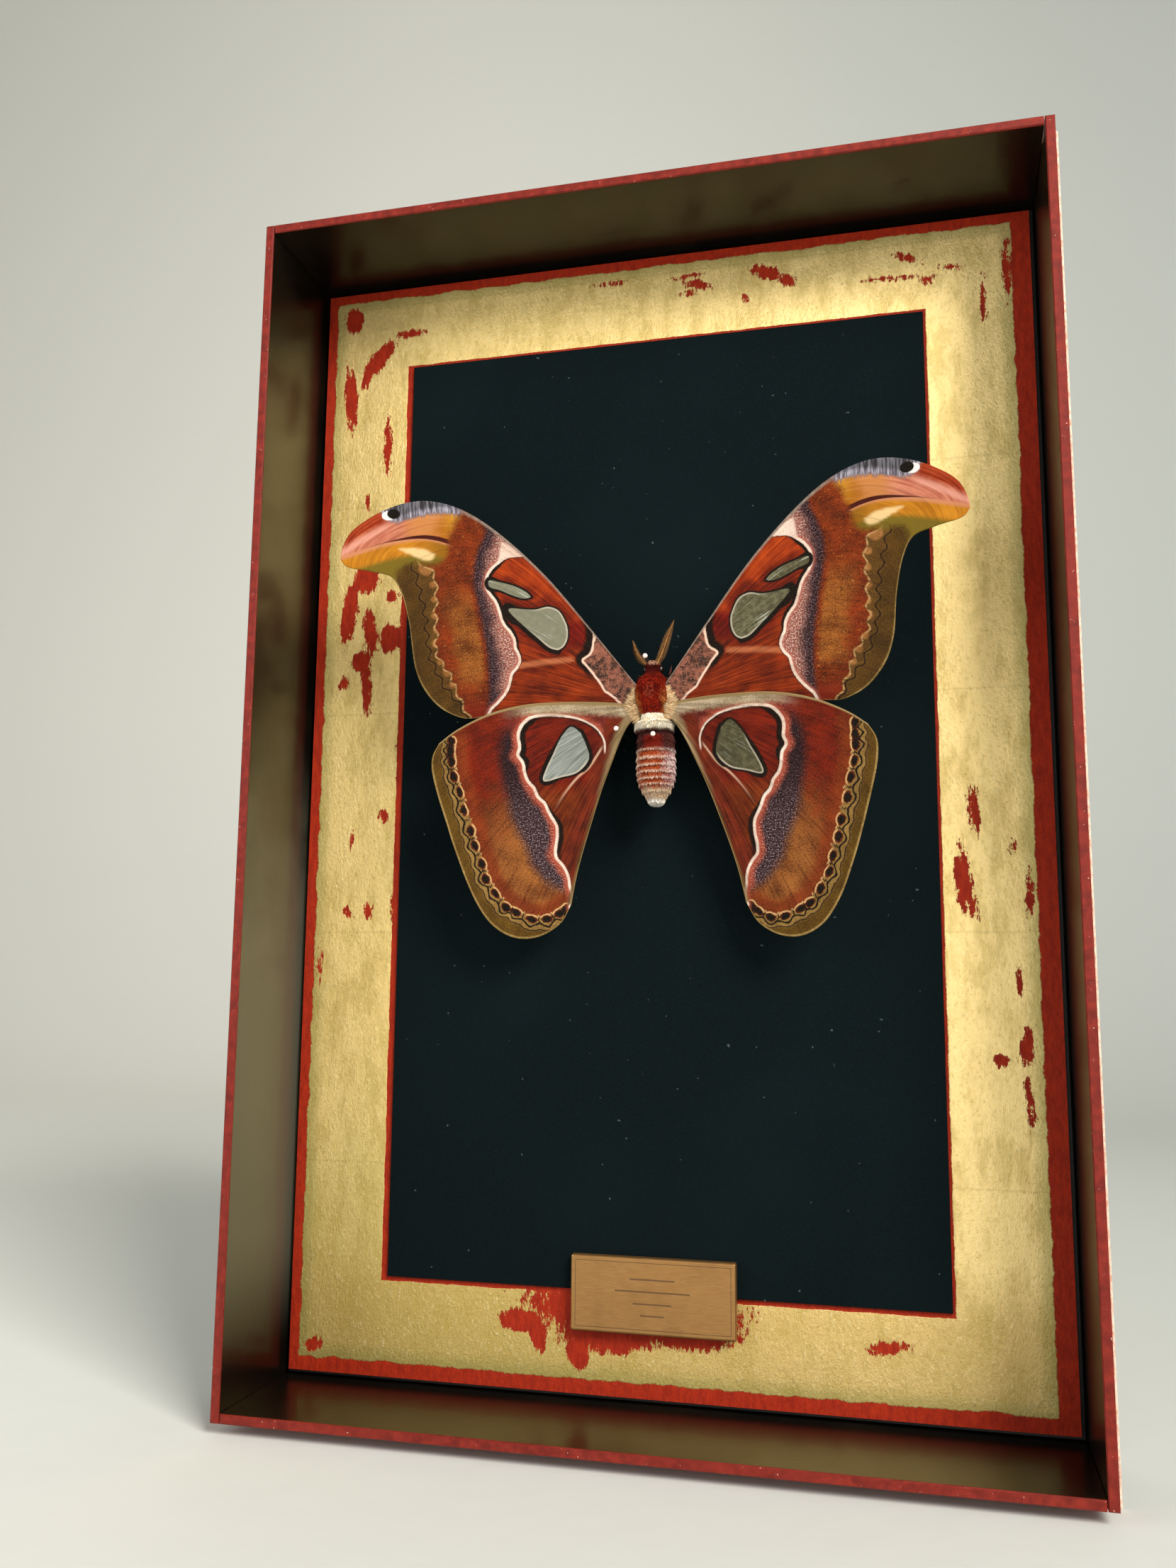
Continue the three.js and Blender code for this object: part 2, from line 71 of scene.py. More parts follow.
class Value:
    """What varies over a surface, a number, vector or colour, with the sums that finishes use."""

    def __init__(self, finish, socket):
        self.finish = finish
        self.socket = socket

    __add__ = __radd__ = calculation('ADD')
    __sub__ = calculation('SUBTRACT')
    __mul__ = __rmul__ = calculation('MULTIPLY')
    __truediv__ = calculation('DIVIDE')
    __abs__ = calculation('ABSOLUTE')
    least = calculation('MINIMUM')
    most = calculation('MAXIMUM')
    wave = calculation('SINE')
    to_and_fro = calculation('PINGPONG')

    def __rsub__(self, other):
        return self.finish.node('ShaderNodeMath', {'operation': 'SUBTRACT'}, (other, self))

    def step(self, start, end):
        """A soft step: 0 where the value is at start, 1 at end and beyond."""
        return self.finish.node(
            'ShaderNodeMapRange', {'interpolation_type': 'SMOOTHSTEP'}, (self, start, end, 0, 1))

    def mix(self, under, over):
        """The colour under where this share is 0, turning into the colour over where it is 1."""
        return self.finish.node('ShaderNodeMix', {'data_type': 'RGBA'}, {0: self, 6: under, 7: over}, 2)

    def deepened(self, power):
        """This colour with its darks darker and its lights kept."""
        return self.finish.node('ShaderNodeGamma', {}, (self, power))

    def scaled(self, *factors):
        """This vector with each part multiplied."""
        return self.finish.node('ShaderNodeVectorMath', {'operation': 'MULTIPLY'}, (self, factors))

    def apart(self):
        """The three parts of this vector."""
        parts = self.finish.node('ShaderNodeSeparateXYZ', {}, (self,)).socket.node.outputs
        return [Value(self.finish, part) for part in parts]

    def sway(self, amount):
        """This noise as a swing of an amount, to either side of nothing in the middle."""
        return (self - 0.5) * amount

    def mottle(self, scale, detail=2, rough=0.5):
        """Cloudy noise from 0 to 1 over this place."""
        return self.finish.node('ShaderNodeTexNoise', {}, {
            'Vector': self, 'Scale': scale, 'Detail': detail, 'Roughness': rough})


class Finish:
    """A material in the making: its Principled shader, and one way to add every other node."""

    def __init__(self, name, **constants):
        self.material = bpy.data.materials.new(name)
        self.material.use_nodes = True
        self.tree = self.material.node_tree
        self.shader = self.tree.nodes['Principled BSDF']
        for socket, value in constants.items():
            self.feed(socket.replace('_', ' '), value)

    def plug(self, socket, value):
        if isinstance(value, Value):
            self.tree.links.new(value.socket, socket)
        elif isinstance(value, str):
            socket.default_value = paint(value)
        else:
            socket.default_value = value

    def node(self, kind, settings, values=(), output=0):
        """A node with its settings made first, then its sockets, by order or by name."""
        made = self.tree.nodes.new(kind)
        for setting, value in settings.items():
            setattr(made, setting, value)
        named = values.items() if isinstance(values, dict) else enumerate(values)
        for socket, value in named:
            self.plug(made.inputs[socket], value)
        return Value(self, made.outputs[output])

    def feed(self, socket, value):
        self.plug(self.shader.inputs[socket], value)

    def place(self, scale=1 / MM):
        """Where a point is in the object, in millimetres unless scaled otherwise."""
        return self.node('ShaderNodeTexCoord', {}, (), 'Object').scaled(scale, scale, scale)

    def kept(self, name, output='Fac'):
        """A value kept at the vertices."""
        return self.node('ShaderNodeAttribute', {'attribute_name': name}, (), output)

    def relief(self, height, depth, strength):
        """Small raised forms, with height in units of depth metres."""
        self.feed('Normal', self.node('ShaderNodeBump', {}, {
            'Strength': strength, 'Distance': depth, 'Height': height}))


def layered(colour, *layers):
    """A colour with others laid over it in turn, each as thick as its share."""
    for share, over in layers:
        colour = share.mix(colour, over)
    return colour


def paint(code):
    """The linear colour of a hex code of screen colour."""
    parts = [int(code[k:k + 2], 16) / 255 for k in (1, 3, 5)]
    return [part / 12.92 if part < 0.04045 else ((part + 0.055) / 1.055) ** 2.4 for part in parts] + [1.0]


def add_piece(name, mesh, finish, slot=None, replaced=()):
    """An object for a finished mesh, riding on the part's one body."""
    made = bpy.data.objects.new(name, mesh)
    bpy.context.collection.objects.link(made)
    mesh.materials.append(finish.material)
    if slot:
        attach(made, 'root')
    if replaced:
        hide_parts(*replaced)
    return made


def mesh_of(bm, name, smooth=True):
    """The mesh of a finished bmesh, which is freed."""
    mesh = bpy.data.meshes.new(name)
    bm.to_mesh(mesh)
    bm.free()
    mesh.shade_smooth() if smooth else mesh.shade_flat()
    return mesh


sweep = {'half_width': 3, 'near': -2.5, 'wall': 1.7, 'bend': 0.6, 'top': 2.6, 'rows': 40}
bm = bmesh.new()
bmesh.ops.create_grid(bm, x_segments=2, y_segments=sweep['rows'], size=1)
floor_run = sweep['wall'] - sweep['bend'] - sweep['near']
bend_run = sweep['bend'] * math.pi / 2
whole_run = floor_run + bend_run + sweep['top'] - sweep['bend']
for vert in bm.verts:
    run = (vert.co.y + 1) / 2 * whole_run
    angle = min(max(run - floor_run, 0) / sweep['bend'], math.pi / 2)
    climb = max(run - floor_run - bend_run, 0)
    vert.co.x *= sweep['half_width']
    vert.co.y = sweep['near'] + min(run, floor_run) + sweep['bend'] * math.sin(angle)
    vert.co.z = sweep['bend'] * (1 - math.cos(angle)) + climb
paper = Finish('pale_sheet', Roughness=0.85)
here = paper.place(1)
grain = here.mottle(60, 4)
# The sheet is painted greyer towards the right and paler towards the left, as painted shade across floor and
# wall.
paper.feed('Base Color', (here.apart()[0] + grain * 0.05).step(-0.9, 0.7).mix('#f6f4ec', '#cbcec9'))
paper.relief(grain, 0.0008, 0.3)
add_piece('studio_sheet', mesh_of(bm, 'studio_sheet'), paper)

lit_height = 0.21
lights = (
    # Name, place, width in metres, watts, tint
    ('window_right', (1.15, -1.25, 1.25), 0.8, 52, (1, 0.97, 0.92)),
    ('window_left', (-1.3, -1.1, 0.6), 0.9, 11, (0.92, 0.96, 1)),
    ('low_front', (0.2, -1.6, 0.15), 1.2, 7, (1, 0.96, 0.9)))
for name, place, width, watts, tint in lights:
    lamp = bpy.data.objects.new(name, bpy.data.lights.new(name, 'AREA'))
    lamp.data.size = width
    lamp.data.energy = watts
    lamp.data.color = tint
    lamp.location = place
    lamp.rotation_euler = (Vector((0, 0, lit_height)) - lamp.location).to_track_quat('-Z', 'Y').to_euler()
    bpy.context.collection.objects.link(lamp)
world = bpy.data.worlds.new('room')
world.use_nodes = True
sky = world.node_tree.nodes['Background'].inputs
sky['Color'].default_value = paint('#d9dcd6')
sky['Strength'].default_value = 0.36
bpy.context.scene.world = world


# The tray is four thin boards under lacquer, glossy black on the inside and brick red on the
# front edges and outside, where the brush left light streaks and the corners are chipped.
def refinish(finish, *names):
    """A new finish on solids whose own mesh stays."""
    for name in names:
        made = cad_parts[name]
        made.data.materials.clear()
        made.data.materials.append(finish.material)


tray_boards = [f'tray_{side}' for side in ('left', 'right', 'top', 'bottom')]
tray_boxes = np.array([[list(corner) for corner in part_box(name)] for name in tray_boards]) / MM
case_low, case_high = tray_boxes[:, 0].min(0), tray_boxes[:, 1].max(0)
middle_z = (case_low[2] + case_high[2]) / 2
front_y = case_low[1]
lacquer = Finish('lacquered_tray', Coat_Roughness=0.16, Specular_IOR_Level=0.26)
here = lacquer.place()
across, deep, up = here.apart()
streaks = here.scaled(0.3, 2.2, 0.3).mottle(1, 4, 0.6)
cloud = here.mottle(0.05, 3)
board_core = 1.2
outside = (abs(across) - (case_high[0] - board_core)).most(
    abs(up - middle_z) - (middle_z - case_low[2] - board_core))
red_share = (outside * 3).step(-0.1, 0.1).most((deep - front_y + streaks * 0.8).step(1.3, 0.9))
chip_grain = here.mottle(0.8, 3, 0.7)
edge_wear = (deep - front_y).step(0.5, 0) * chip_grain.step(0.69, 0.74)
# Painted reflection: the lower half of the left wall's black inside is painted grey, as a sheen of the window
# light.
painted_wall_sheen = across.step(-120, -130) * (up + cloud * 60).step(260, 170) * up.step(16, 60)
brick = layered(streaks.step(0.3, 0.75).mix('#601308', '#862416'),
    (cloud.step(0.45, 0.7) * 0.5, '#7c1e10'),
    (edge_wear, '#d6a596'))
black = layered(cloud.step(0.4, 0.75).mix('#0b0805', '#171008'),
    (painted_wall_sheen * 0.85, '#5c594a'))
lacquer.feed('Base Color', red_share.mix(black, brick))
lacquer.feed('Roughness', 0.27 + red_share * 0.28 + streaks * 0.12)
lacquer.feed('Coat Weight', 0.22 * (1 - red_share))
lacquer.relief(streaks, 0.0002, 0.25)
refinish(lacquer, *tray_boards)

# The outer sleeve is grey-black paper over board. Its front edge, set back from the tray's, was
# left raw and shows the pale pulp of the board.
sleeve_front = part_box('sleeve_left')[0][1] / MM
sleeve_paper = Finish('sleeve_board')
here = sleeve_paper.place()
deep = here.apart()[1]
fibre = here.scaled(0.6, 2, 0.6).mottle(1, 5, 0.65)
raw = (deep - sleeve_front + fibre * 0.5).step(0.95, 0.6)
pulp = fibre.step(0.35, 0.7).mix('#ecd3bd', '#c98f74')
wrap = fibre.step(0.3, 0.7).mix('#12100e', '#211e1b')
sleeve_paper.feed('Base Color', raw.mix(wrap, pulp))
sleeve_paper.feed('Roughness', 0.55 + raw * 0.3)
sleeve_paper.relief(fibre, 0.0002, 0.35)
sleeve_boards = [f'sleeve_{side}' for side in ('left', 'right', 'top', 'bottom', 'back')]
refinish(sleeve_paper, 'tray_back', *sleeve_boards)

# The mount board is painted with red bole and gilded with loose leaf in a broad band. The leaf
# has ragged outer edges, fine wrinkles, and torn places where the red shows through.
leaf = {
    # Half width and half height of the band's edges, and their centres on the board
    'outer': ((124.9, 194.4), (-1.3, 0.6)), 'inner': ((95.7, 167.1), (-0.9, -0.2)),
    # The height of one sheet of leaf
    'sheet': 80}
bole_colours = ('#861a04', '#a82a08')
torn_places = (
    # Left side: centre across and up, half width and half height, lean to the right in degrees
    (-119.5, 188, 3.6, 5.2, -8), (-96, 180, 5.2, 1.7, 0), (-108.5, 171, 3.2, 9.5, 38),
    (-113, 166, 2.2, 7, 14), (-119.8, 156, 2.6, 13, -4), (-104, 135, 1.7, 10.5, -2), (-111.5, 113, 1, 3, 0),
    (-100.5, 76.5, 2.4, 2.6, 0), (-111, 84, 5.5, 6, 0), (-117.5, 70, 3.2, 12, 6), (-108.5, 63, 2.6, 9, -10),
    (-101, 60.5, 4.2, 5.6, 0), (-112, 52, 3.6, 4, 0), (-109.5, 43, 2, 12, -4), (-118.5, 44, 2, 2.6, 0),
    (-95.5, 64, 1.5, 12, 0), (-95.5, 14, 1.1, 7, 0), (-101, -6, 2, 2.6, -20), (-113, -14, 0.9, 2.4, 0),
    (-106, -40, 1.8, 2.8, 0), (-95.8, -38, 1.4, 6, 0), (-114, -41, 1.3, 2.2, -30),
    (-121, -190, 3.2, 2.2, -20), (-124, -60, 1, 6, 0),
    # Top
    (-18, 190.5, 4.4, 0.8, 0), (10, 189.5, 5, 1, -5), (15, 186, 5, 1.6, 20), (12, 183, 2.6, 1, 0),
    (40, 187.5, 5.6, 2.4, 24), (47.5, 183.5, 3, 2.2, 40), (32, 178.5, 1.2, 1.6, 0), (89, 186.5, 4, 1.4, 24),
    (84, 179.6, 8, 0.8, 3), (95, 177.6, 2.4, 1.6, 30), (104, 181, 3.4, 1, 10), (114, 168, 1, 7, 0),
    (122, 178, 1.4, 10, 0),
    # Right side
    (105, -8, 1.8, 7.5, -4), (101, -31, 2.6, 10, -3), (104, -40, 1.4, 4, 0), (117, -20, 1, 2.2, 0),
    (121.5, -36, 1, 7, 0), (117.5, -64, 1, 3.4, 0), (119, -84, 2, 6.5, 6), (111, -88.5, 2.6, 2, 0),
    (119, -101, 1.2, 6.5, -4),
    # Foot, round the plate
    (-46, -177, 8, 3.6, 0), (-40, -181, 3, 5.6, -10), (-26, -186, 4, 5, 0), (-8, -170, 36, 11.5, 0),
    (12, -176, 16, 6.6, -2), (-16, -179, 18, 6.4, 0), (74, -177.4, 6, 2, -8))
gilding = Finish('gilded_board', Specular_IOR_Level=0.2)
here = gilding.place()
across, _, up = here.apart()
rough_edge = here.scaled(1.6, 1, 0.55).mottle(0.35, 4, 0.8)
fine_edge = here.mottle(1.1, 3, 0.7)
soft_edge = here.mottle(0.12, 3, 0.6)
ragged = soft_edge.sway(4) + fine_edge.sway(1.6)
jagged = rough_edge.sway(8) + fine_edge.sway(1.4)


def tag(mesh, name, values):
    """A value kept at each vertex, for the finish to read."""
    values = np.asarray(values, np.float32)
    kind, part = ('FLOAT', 'value') if values.ndim == 1 else ('FLOAT_VECTOR', 'vector')
    mesh.attributes.new(name, kind, 'POINT').data.foreach_set(part, values.ravel())


def frame_reach(half, centre):
    """How far a point lies outside an upright rectangle on the board."""
    return (abs(across - centre[0]) - half[0]).most(abs(up - (middle_z + centre[1])) - half[1])


leaf_edge = frame_reach(*leaf['outer']) + ragged * 0.7
inner_edge = frame_reach(*leaf['inner']) + ragged * 0.3
torn_edge = gilding.kept('torn') + jagged * 0.85
scratches = here.scaled(1.8, 1, 0.16).mottle(1, 4, 0.6)
gold_share = leaf_edge.step(0.3, -0.1) * inner_edge.step(-0.2, 0.1) * torn_edge.step(-0.1, 0.15)
gold_share = gold_share * (1 - scratches.step(0.765, 0.79) * rough_edge.step(0.5, 0.6))
wrinkles = here.scaled(1.3, 1, 0.8).mottle(0.9, 5, 0.75)
folds = here.scaled(1, 1, 0.4).mottle(0.2, 3, 0.6)
sheets = here.mottle(0.03, 2)
low = (up - middle_z + sheets.sway(120)).step(-60, -175)
joint = (up + rough_edge.sway(3)).to_and_fro(leaf['sheet'] / 2).step(0.5, 0.12)
bole = rough_edge.step(0.3, 0.7).mix(*bole_colours)
# The leaf is painted warmer and paler towards the right: partly its own tone from sheet to sheet, partly
# painted light from the window on the right.
gold = layered((across + sheets.sway(60)).step(-40, 90).mix('#f0d28a', '#ffe19a'),
    (low * across.step(60, -60) * 0.55, '#c4b468'),
    ((up - middle_z).step(-150, -172) * 0.5, '#b8944a'),
    (folds.step(0.6, 0.3) * 0.5, '#c0a456'),
    # Painted highlights and shade: the crinkles of the leaf are painted pale on their raised tops and darker
    # in their hollows.
    (wrinkles.step(0.55, 0.72) * 0.6, '#fff4c4'),
    (wrinkles.step(0.48, 0.3) * 0.5, '#b08e44'),
    # Painted shade: the leaf darkens to olive within a few millimetres of its outer edge, next to the tray
    # walls.
    ((leaf_edge + fine_edge * 4).step(-4, 2) * 0.55, '#98904e'),
    (joint * rough_edge.step(0.35, 0.55) * 0.2, '#8a6a36'))
gilding.feed('Base Color', gold_share.mix(bole, gold))
gilding.feed('Metallic', gold_share * 0.68)
gilding.feed('Roughness', 0.6 - gold_share * 0.24 + wrinkles * 0.12)
gilding.relief(wrinkles * 1.3 + folds * 0.8 + gold_share * 0.4, 0.0004, 0.6)

board_low, board_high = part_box('mount_board')
card_low, card_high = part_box('black_card')
film_thick = 0.025 * MM
film_step = 1.25 * MM
far_from_torn = 50
steepest_tear = 4
bm = bmesh.new()
bmesh.ops.create_grid(
    bm, x_segments=round((board_high[0] - board_low[0]) / film_step),
    y_segments=round((board_high[2] - board_low[2]) / film_step), size=1)
for vert in bm.verts:
    side, rise = (vert.co.x + 1) / 2, (vert.co.y + 1) / 2
    vert.co = (board_low[0] + side * (board_high[0] - board_low[0]), board_low[1] - 2 * film_thick,
               board_low[2] + rise * (board_high[2] - board_low[2]))
middles = [(face, face.calc_center_median()) for face in bm.faces]
covered = [face for face, middle in middles if all(
    card_low[k] + film_step < middle[k] < card_high[k] - film_step for k in (0, 2))]
bmesh.ops.delete(bm, geom=covered, context='FACES')
gilded_face = mesh_of(bm, 'gilded_face', smooth=False)
x, _, z = (np.array([vert.co for vert in gilded_face.vertices]) / MM - (0, 0, middle_z)).T
torn_reach = np.full(len(x), float(far_from_torn))
for torn_x, torn_z, half_x, half_z, lean in torn_places:
    turn = math.radians(lean)
    side = (x - torn_x) * math.cos(turn) - (z - torn_z) * math.sin(turn)
    rise = (x - torn_x) * math.sin(turn) + (z - torn_z) * math.cos(turn)
    share = np.hypot(side / half_x, rise / half_z)
    torn_reach = np.minimum(torn_reach, (share - 1) * min(half_x, half_z, steepest_tear))
tag(gilded_face, 'torn', torn_reach)
made = add_piece('gilded_face', gilded_face, gilding, 'gilded_board')
made.modifiers.new('film', 'SOLIDIFY').thickness = film_thick
bole_board = Finish('bole_board', Roughness=0.6, Specular_IOR_Level=0.2)
strokes = bole_board.place().scaled(0.2, 1.5, 1.5).mottle(1, 4)
bole_board.feed('Base Color', strokes.mix(*bole_colours))
bole_board.relief(strokes, 0.0001, 0.4)
refinish(bole_board, 'mount_board')

# The mounting card behind the moth is black, dyed through and matt, glued on the gilded board.
# It has a fine nap, faint broad clouding and a little dust.
card_stock = Finish('black_card', Roughness=0.95, Specular_IOR_Level=0.04)
here = card_stock.place()
nap = here.mottle(2.5, 4, 0.7)
dust = here.mottle(0.55, 1, 0.4).step(0.79, 0.81)
card = layered(nap.step(0.3, 0.7).mix('#080f11', '#0e181a'),
    (here.mottle(0.012, 2).step(0.4, 0.65) * 0.5, '#101a1c'))
card_stock.feed('Base Color', (dust * 0.7).mix(card, '#4b5658'))
card_stock.relief(nap, 0.0001, 0.3)
refinish(card_stock, 'black_card')


# The label plate is thick brushed brass with polished edges, glued over the foot of the card.
# A thin line is cut round it, and plain strokes stand where a label has its lines.
def slab(name, low, high, bevel):
    """A block between two corners with its edges rounded."""
    bm = bmesh.new()
    bmesh.ops.create_cube(bm, size=1)
    bmesh.ops.scale(bm, vec=Vector(high) - Vector(low), verts=bm.verts)
    bmesh.ops.translate(bm, vec=(Vector(low) + Vector(high)) / 2, verts=bm.verts)
    bmesh.ops.bevel(bm, geom=bm.edges[:], offset=bevel, segments=3, profile=0.5, affect='EDGES', material=-1)
    return mesh_of(bm, name, smooth=False)


plate_low, plate_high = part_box('plaque')
brass = Finish('brass_plate')
here = brass.place()
across, deep, up = here.apart()
plate_centre = (Vector(plate_low) + Vector(plate_high)) / 2 / MM
half_plate = (Vector(plate_high) - Vector(plate_low)) / 2 / MM
from_middle, above_middle = abs(across - plate_centre.x), up - plate_centre.z
rim_line, plate_edge = 1.6, 0.7 * MM
strokes = ((5.2, 7.5), (1.4, 12.5), (-2.4, 6.5), (-6, 4))
brushed = here.scaled(0.25, 6, 6).mottle(1, 4, 0.6)
from_rim = (half_plate.x - from_middle).least(half_plate.z - abs(above_middle))
line_cut = abs(from_rim - rim_line).step(0.16, 0.06)
for height, half_length in strokes:
    stroke = abs(above_middle - height).step(0.32, 0.2)
    line_cut = line_cut.most(stroke * from_middle.step(half_length, half_length - 0.2))
line_cut = line_cut * (deep - plate_low[1] / MM).step(0.4, 0.2)
tarnish = here.mottle(0.12, 4)
brass_colour = layered(brushed.step(0.3, 0.7).mix('#9c7040', '#ae8450'),
    (tarnish.step(0.5, 0.75) * 0.3, '#84603a'))
brass.feed('Base Color', (line_cut * 0.75).mix(brass_colour, '#4a3018'))
brass.feed('Metallic', 0.8 - line_cut * 0.5)
brass.feed('Roughness', 0.3 + brushed * 0.2 + line_cut * 0.3)
brass.relief(brushed * 0.3 - line_cut, 0.0001, 0.5)
plate = slab('label_plate', plate_low, plate_high, plate_edge)
add_piece('label_plate', plate, brass, 'brass_plate', ['plaque'])

# The moth hangs by its body from a cork post that is hidden behind it. Its own frame has x to the
# viewer's right, z up and lift as the height in front of the board, and is set a half degree askew.
moth = {'right': 2.4, 'above': 31, 'turn': -0.5}
board_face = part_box('mount_board')[0][1]
moth_origin = np.array([moth['right'] * MM, board_face, (middle_z + moth['above']) * MM])
moth_turn = np.array(Matrix.Rotation(math.radians(moth['turn']), 3, 'Y'))


def turned(x, lift, z):
    """Vectors of the moth's own frame, turned as it hangs."""
    return np.stack(np.broadcast_arrays(x, -np.asarray(lift, float), z), -1) @ moth_turn.T


def set_out(x, lift, z):
    """Points of the moth's own frame, in millimetres, brought to where they are on the board."""
    return turned(x, lift, z) * MM + moth_origin


def unit(vectors):
    """Vectors made one long."""
    return vectors / np.maximum(np.linalg.norm(vectors, axis=-1, keepdims=True), 1e-12)


def headings(x, lift, z):
    """Directions of the moth's own frame, as unit vectors."""
    return unit(turned(x, lift, z))


def smooth_run(points, per_span=16):
    """A smooth line through points of any dimension, as close points (centripetal Catmull-Rom)."""
    given = np.array(points, float)
    given = np.vstack([2 * given[0] - given[1], given, 2 * given[-1] - given[-2]])
    made = []
    for a, b, c, d in zip(given, given[1:], given[2:], given[3:]):
        t0, t1, t2, t3 = np.cumsum([0] + [np.linalg.norm(step) ** 0.5 for step in (b - a, c - b, d - c)])
        t = np.linspace(t1, t2, per_span, endpoint=False)[:, None]
        ab = ((t1 - t) * a + (t - t0) * b) / (t1 - t0)
        bc = ((t2 - t) * b + (t - t1) * c) / (t2 - t1)
        cd = ((t3 - t) * c + (t - t2) * d) / (t3 - t2)
        abc = ((t2 - t) * ab + (t - t0) * bc) / (t2 - t0)
        bcd = ((t3 - t) * bc + (t - t1) * cd) / (t3 - t1)
        made.append(((t2 - t) * abc + (t - t1) * bcd) / (t2 - t1))
    made.append(given[-2:-1])
    return np.vstack(made)


def lengths_along(run):
    """The length of a run up to each of its points."""
    return np.concatenate([[0], np.cumsum(np.linalg.norm(np.diff(run, axis=0), axis=1))])


def along_run(run, shares):
    """Points at shares of a run's length, from 0 at its start to 1 at its end."""
    lengths = lengths_along(run)
    shares = np.asarray(shares, float) * lengths[-1]
    return np.stack([np.interp(shares, lengths, run[:, k]) for k in range(run.shape[1])], -1)


def swept(line, radii, sides=12, reference=(0, 0, 1)):
    """A closed round bar of changing thickness along points, from a sphere drawn out along them."""
    count = len(line) - 1
    ahead = unit(np.gradient(line, axis=0))
    first = unit(np.cross(ahead, reference))
    second = np.cross(ahead, first)
    bm = bmesh.new()
    bmesh.ops.create_uvsphere(bm, u_segments=sides, v_segments=count, radius=1)
    for vert in bm.verts:
        row = round(math.acos(max(-1, min(1, vert.co.z))) / math.pi * count)
        radius = 0 if row in (0, count) else radii[row]
        angle = math.atan2(vert.co.y, vert.co.x)
        vert.co = line[row] + radius * (math.cos(angle) * first[row] + math.sin(angle) * second[row])
    bmesh.ops.recalc_face_normals(bm, faces=bm.faces)
    return bm


def joined_mesh(name, bodies):
    """One mesh from several."""
    whole = bmesh.new()
    for body in bodies:
        part = mesh_of(body, 'part')
        whole.from_mesh(part)
        bpy.data.meshes.remove(part)
    return mesh_of(whole, name)


# The body is soft and dried, in one skin: a head sunk into the thorax, a short waist and an
# abdomen of overlapping rings. The skin lies inside the coat by the depth of the fur.
trunk_rows = (
    # Height, half width, half depth, centre across, lift of the centre
    (11.2, 0.3, 0.3, 0, 17.3), (10.8, 1.3, 1.3, 0, 17.3), (9.8, 2, 2.2, 0, 17.4), (8.4, 2.3, 2.5, 0, 17.6),
    (7, 2.4, 2.7, 0, 17.9), (6, 2.9, 3.2, 0, 18.3), (4.6, 3.9, 4.4, 0, 18.7), (2.4, 4.8, 5.4, 0, 19),
    (-0.4, 5.2, 5.8, 0, 19), (-3.4, 5.1, 5.8, 0, 19), (-5.8, 4.7, 5.2, 0.1, 19), (-7.2, 4, 4.8, 0.3, 19),
    (-9.8, 4.2, 5, 0.4, 19), (-10.5, 5.2, 5.5, 0.5, 19), (-12.4, 5.6, 5.7, 0.5, 19),
    (-13.4, 5.2, 5.3, 0.8, 18.8), (-15.5, 5.9, 5.8, 0.9, 18.6), (-19, 6.1, 6.1, 0.9, 18.6),
    (-24, 6.2, 6.2, 0.9, 18.6), (-28.5, 6.1, 6, 0.9, 18.6), (-31.5, 5.4, 5.4, 0.9, 18.6),
    (-34, 4.3, 4.3, 0.9, 18.6), (-36.2, 3, 3, 0.9, 18.6), (-37.4, 1.8, 1.8, 0.9, 18.6),
    (-37.9, 0.3, 0.3, 0.9, 18.6))
trunk_run = smooth_run(trunk_rows, 8)
trunk_run = trunk_run[np.argsort(trunk_run[:, 0])]
ring_edges = np.array([-37, -33.6, -31.2, -29.3, -27.2, -25, -22.7, -19.8, -16.6, -13.1])
ring_flare, ring_turning = 0.36, 0.55
shoulder = {'up': 1.5, 'spread': 2.4, 'swell': 0.45}
skin_sides, skin_rows = 72, 170
eye = {'across': 2.45, 'up': 8.3, 'lift': 17.2, 'radius': 1.35}


def ring_share(up):
    """How far down its ring of the abdomen a height is, from 0 at the front edge to 1 at the rear."""
    k = np.clip(np.searchsorted(ring_edges, up, side='left'), 1, len(ring_edges) - 1)
    share = (ring_edges[k] - up) / (ring_edges[k] - ring_edges[k - 1])
    return np.where(up < ring_edges[-1], np.clip(share, 0, 1), 0)


def trunk_surface(up, angle):
    """Points of the skin in the moth's own frame, as across, lift and up."""
    width, depth, across, lift = (np.interp(up, trunk_run[:, 0], trunk_run[:, k]) for k in range(1, 5))
    share = ring_share(up)
    stands = np.where(share > 0, ring_flare * (share - ring_turning) * (up > ring_edges[0]), 0)
    toward = np.maximum(0, -np.sin(angle)) * np.cos(2 * angle + math.pi) ** 2
    stands += shoulder['swell'] * np.exp(-((up - shoulder['up']) / shoulder['spread']) ** 2) * toward
    return across + (width + stands) * np.cos(angle), lift - (depth + stands) * np.sin(angle), up


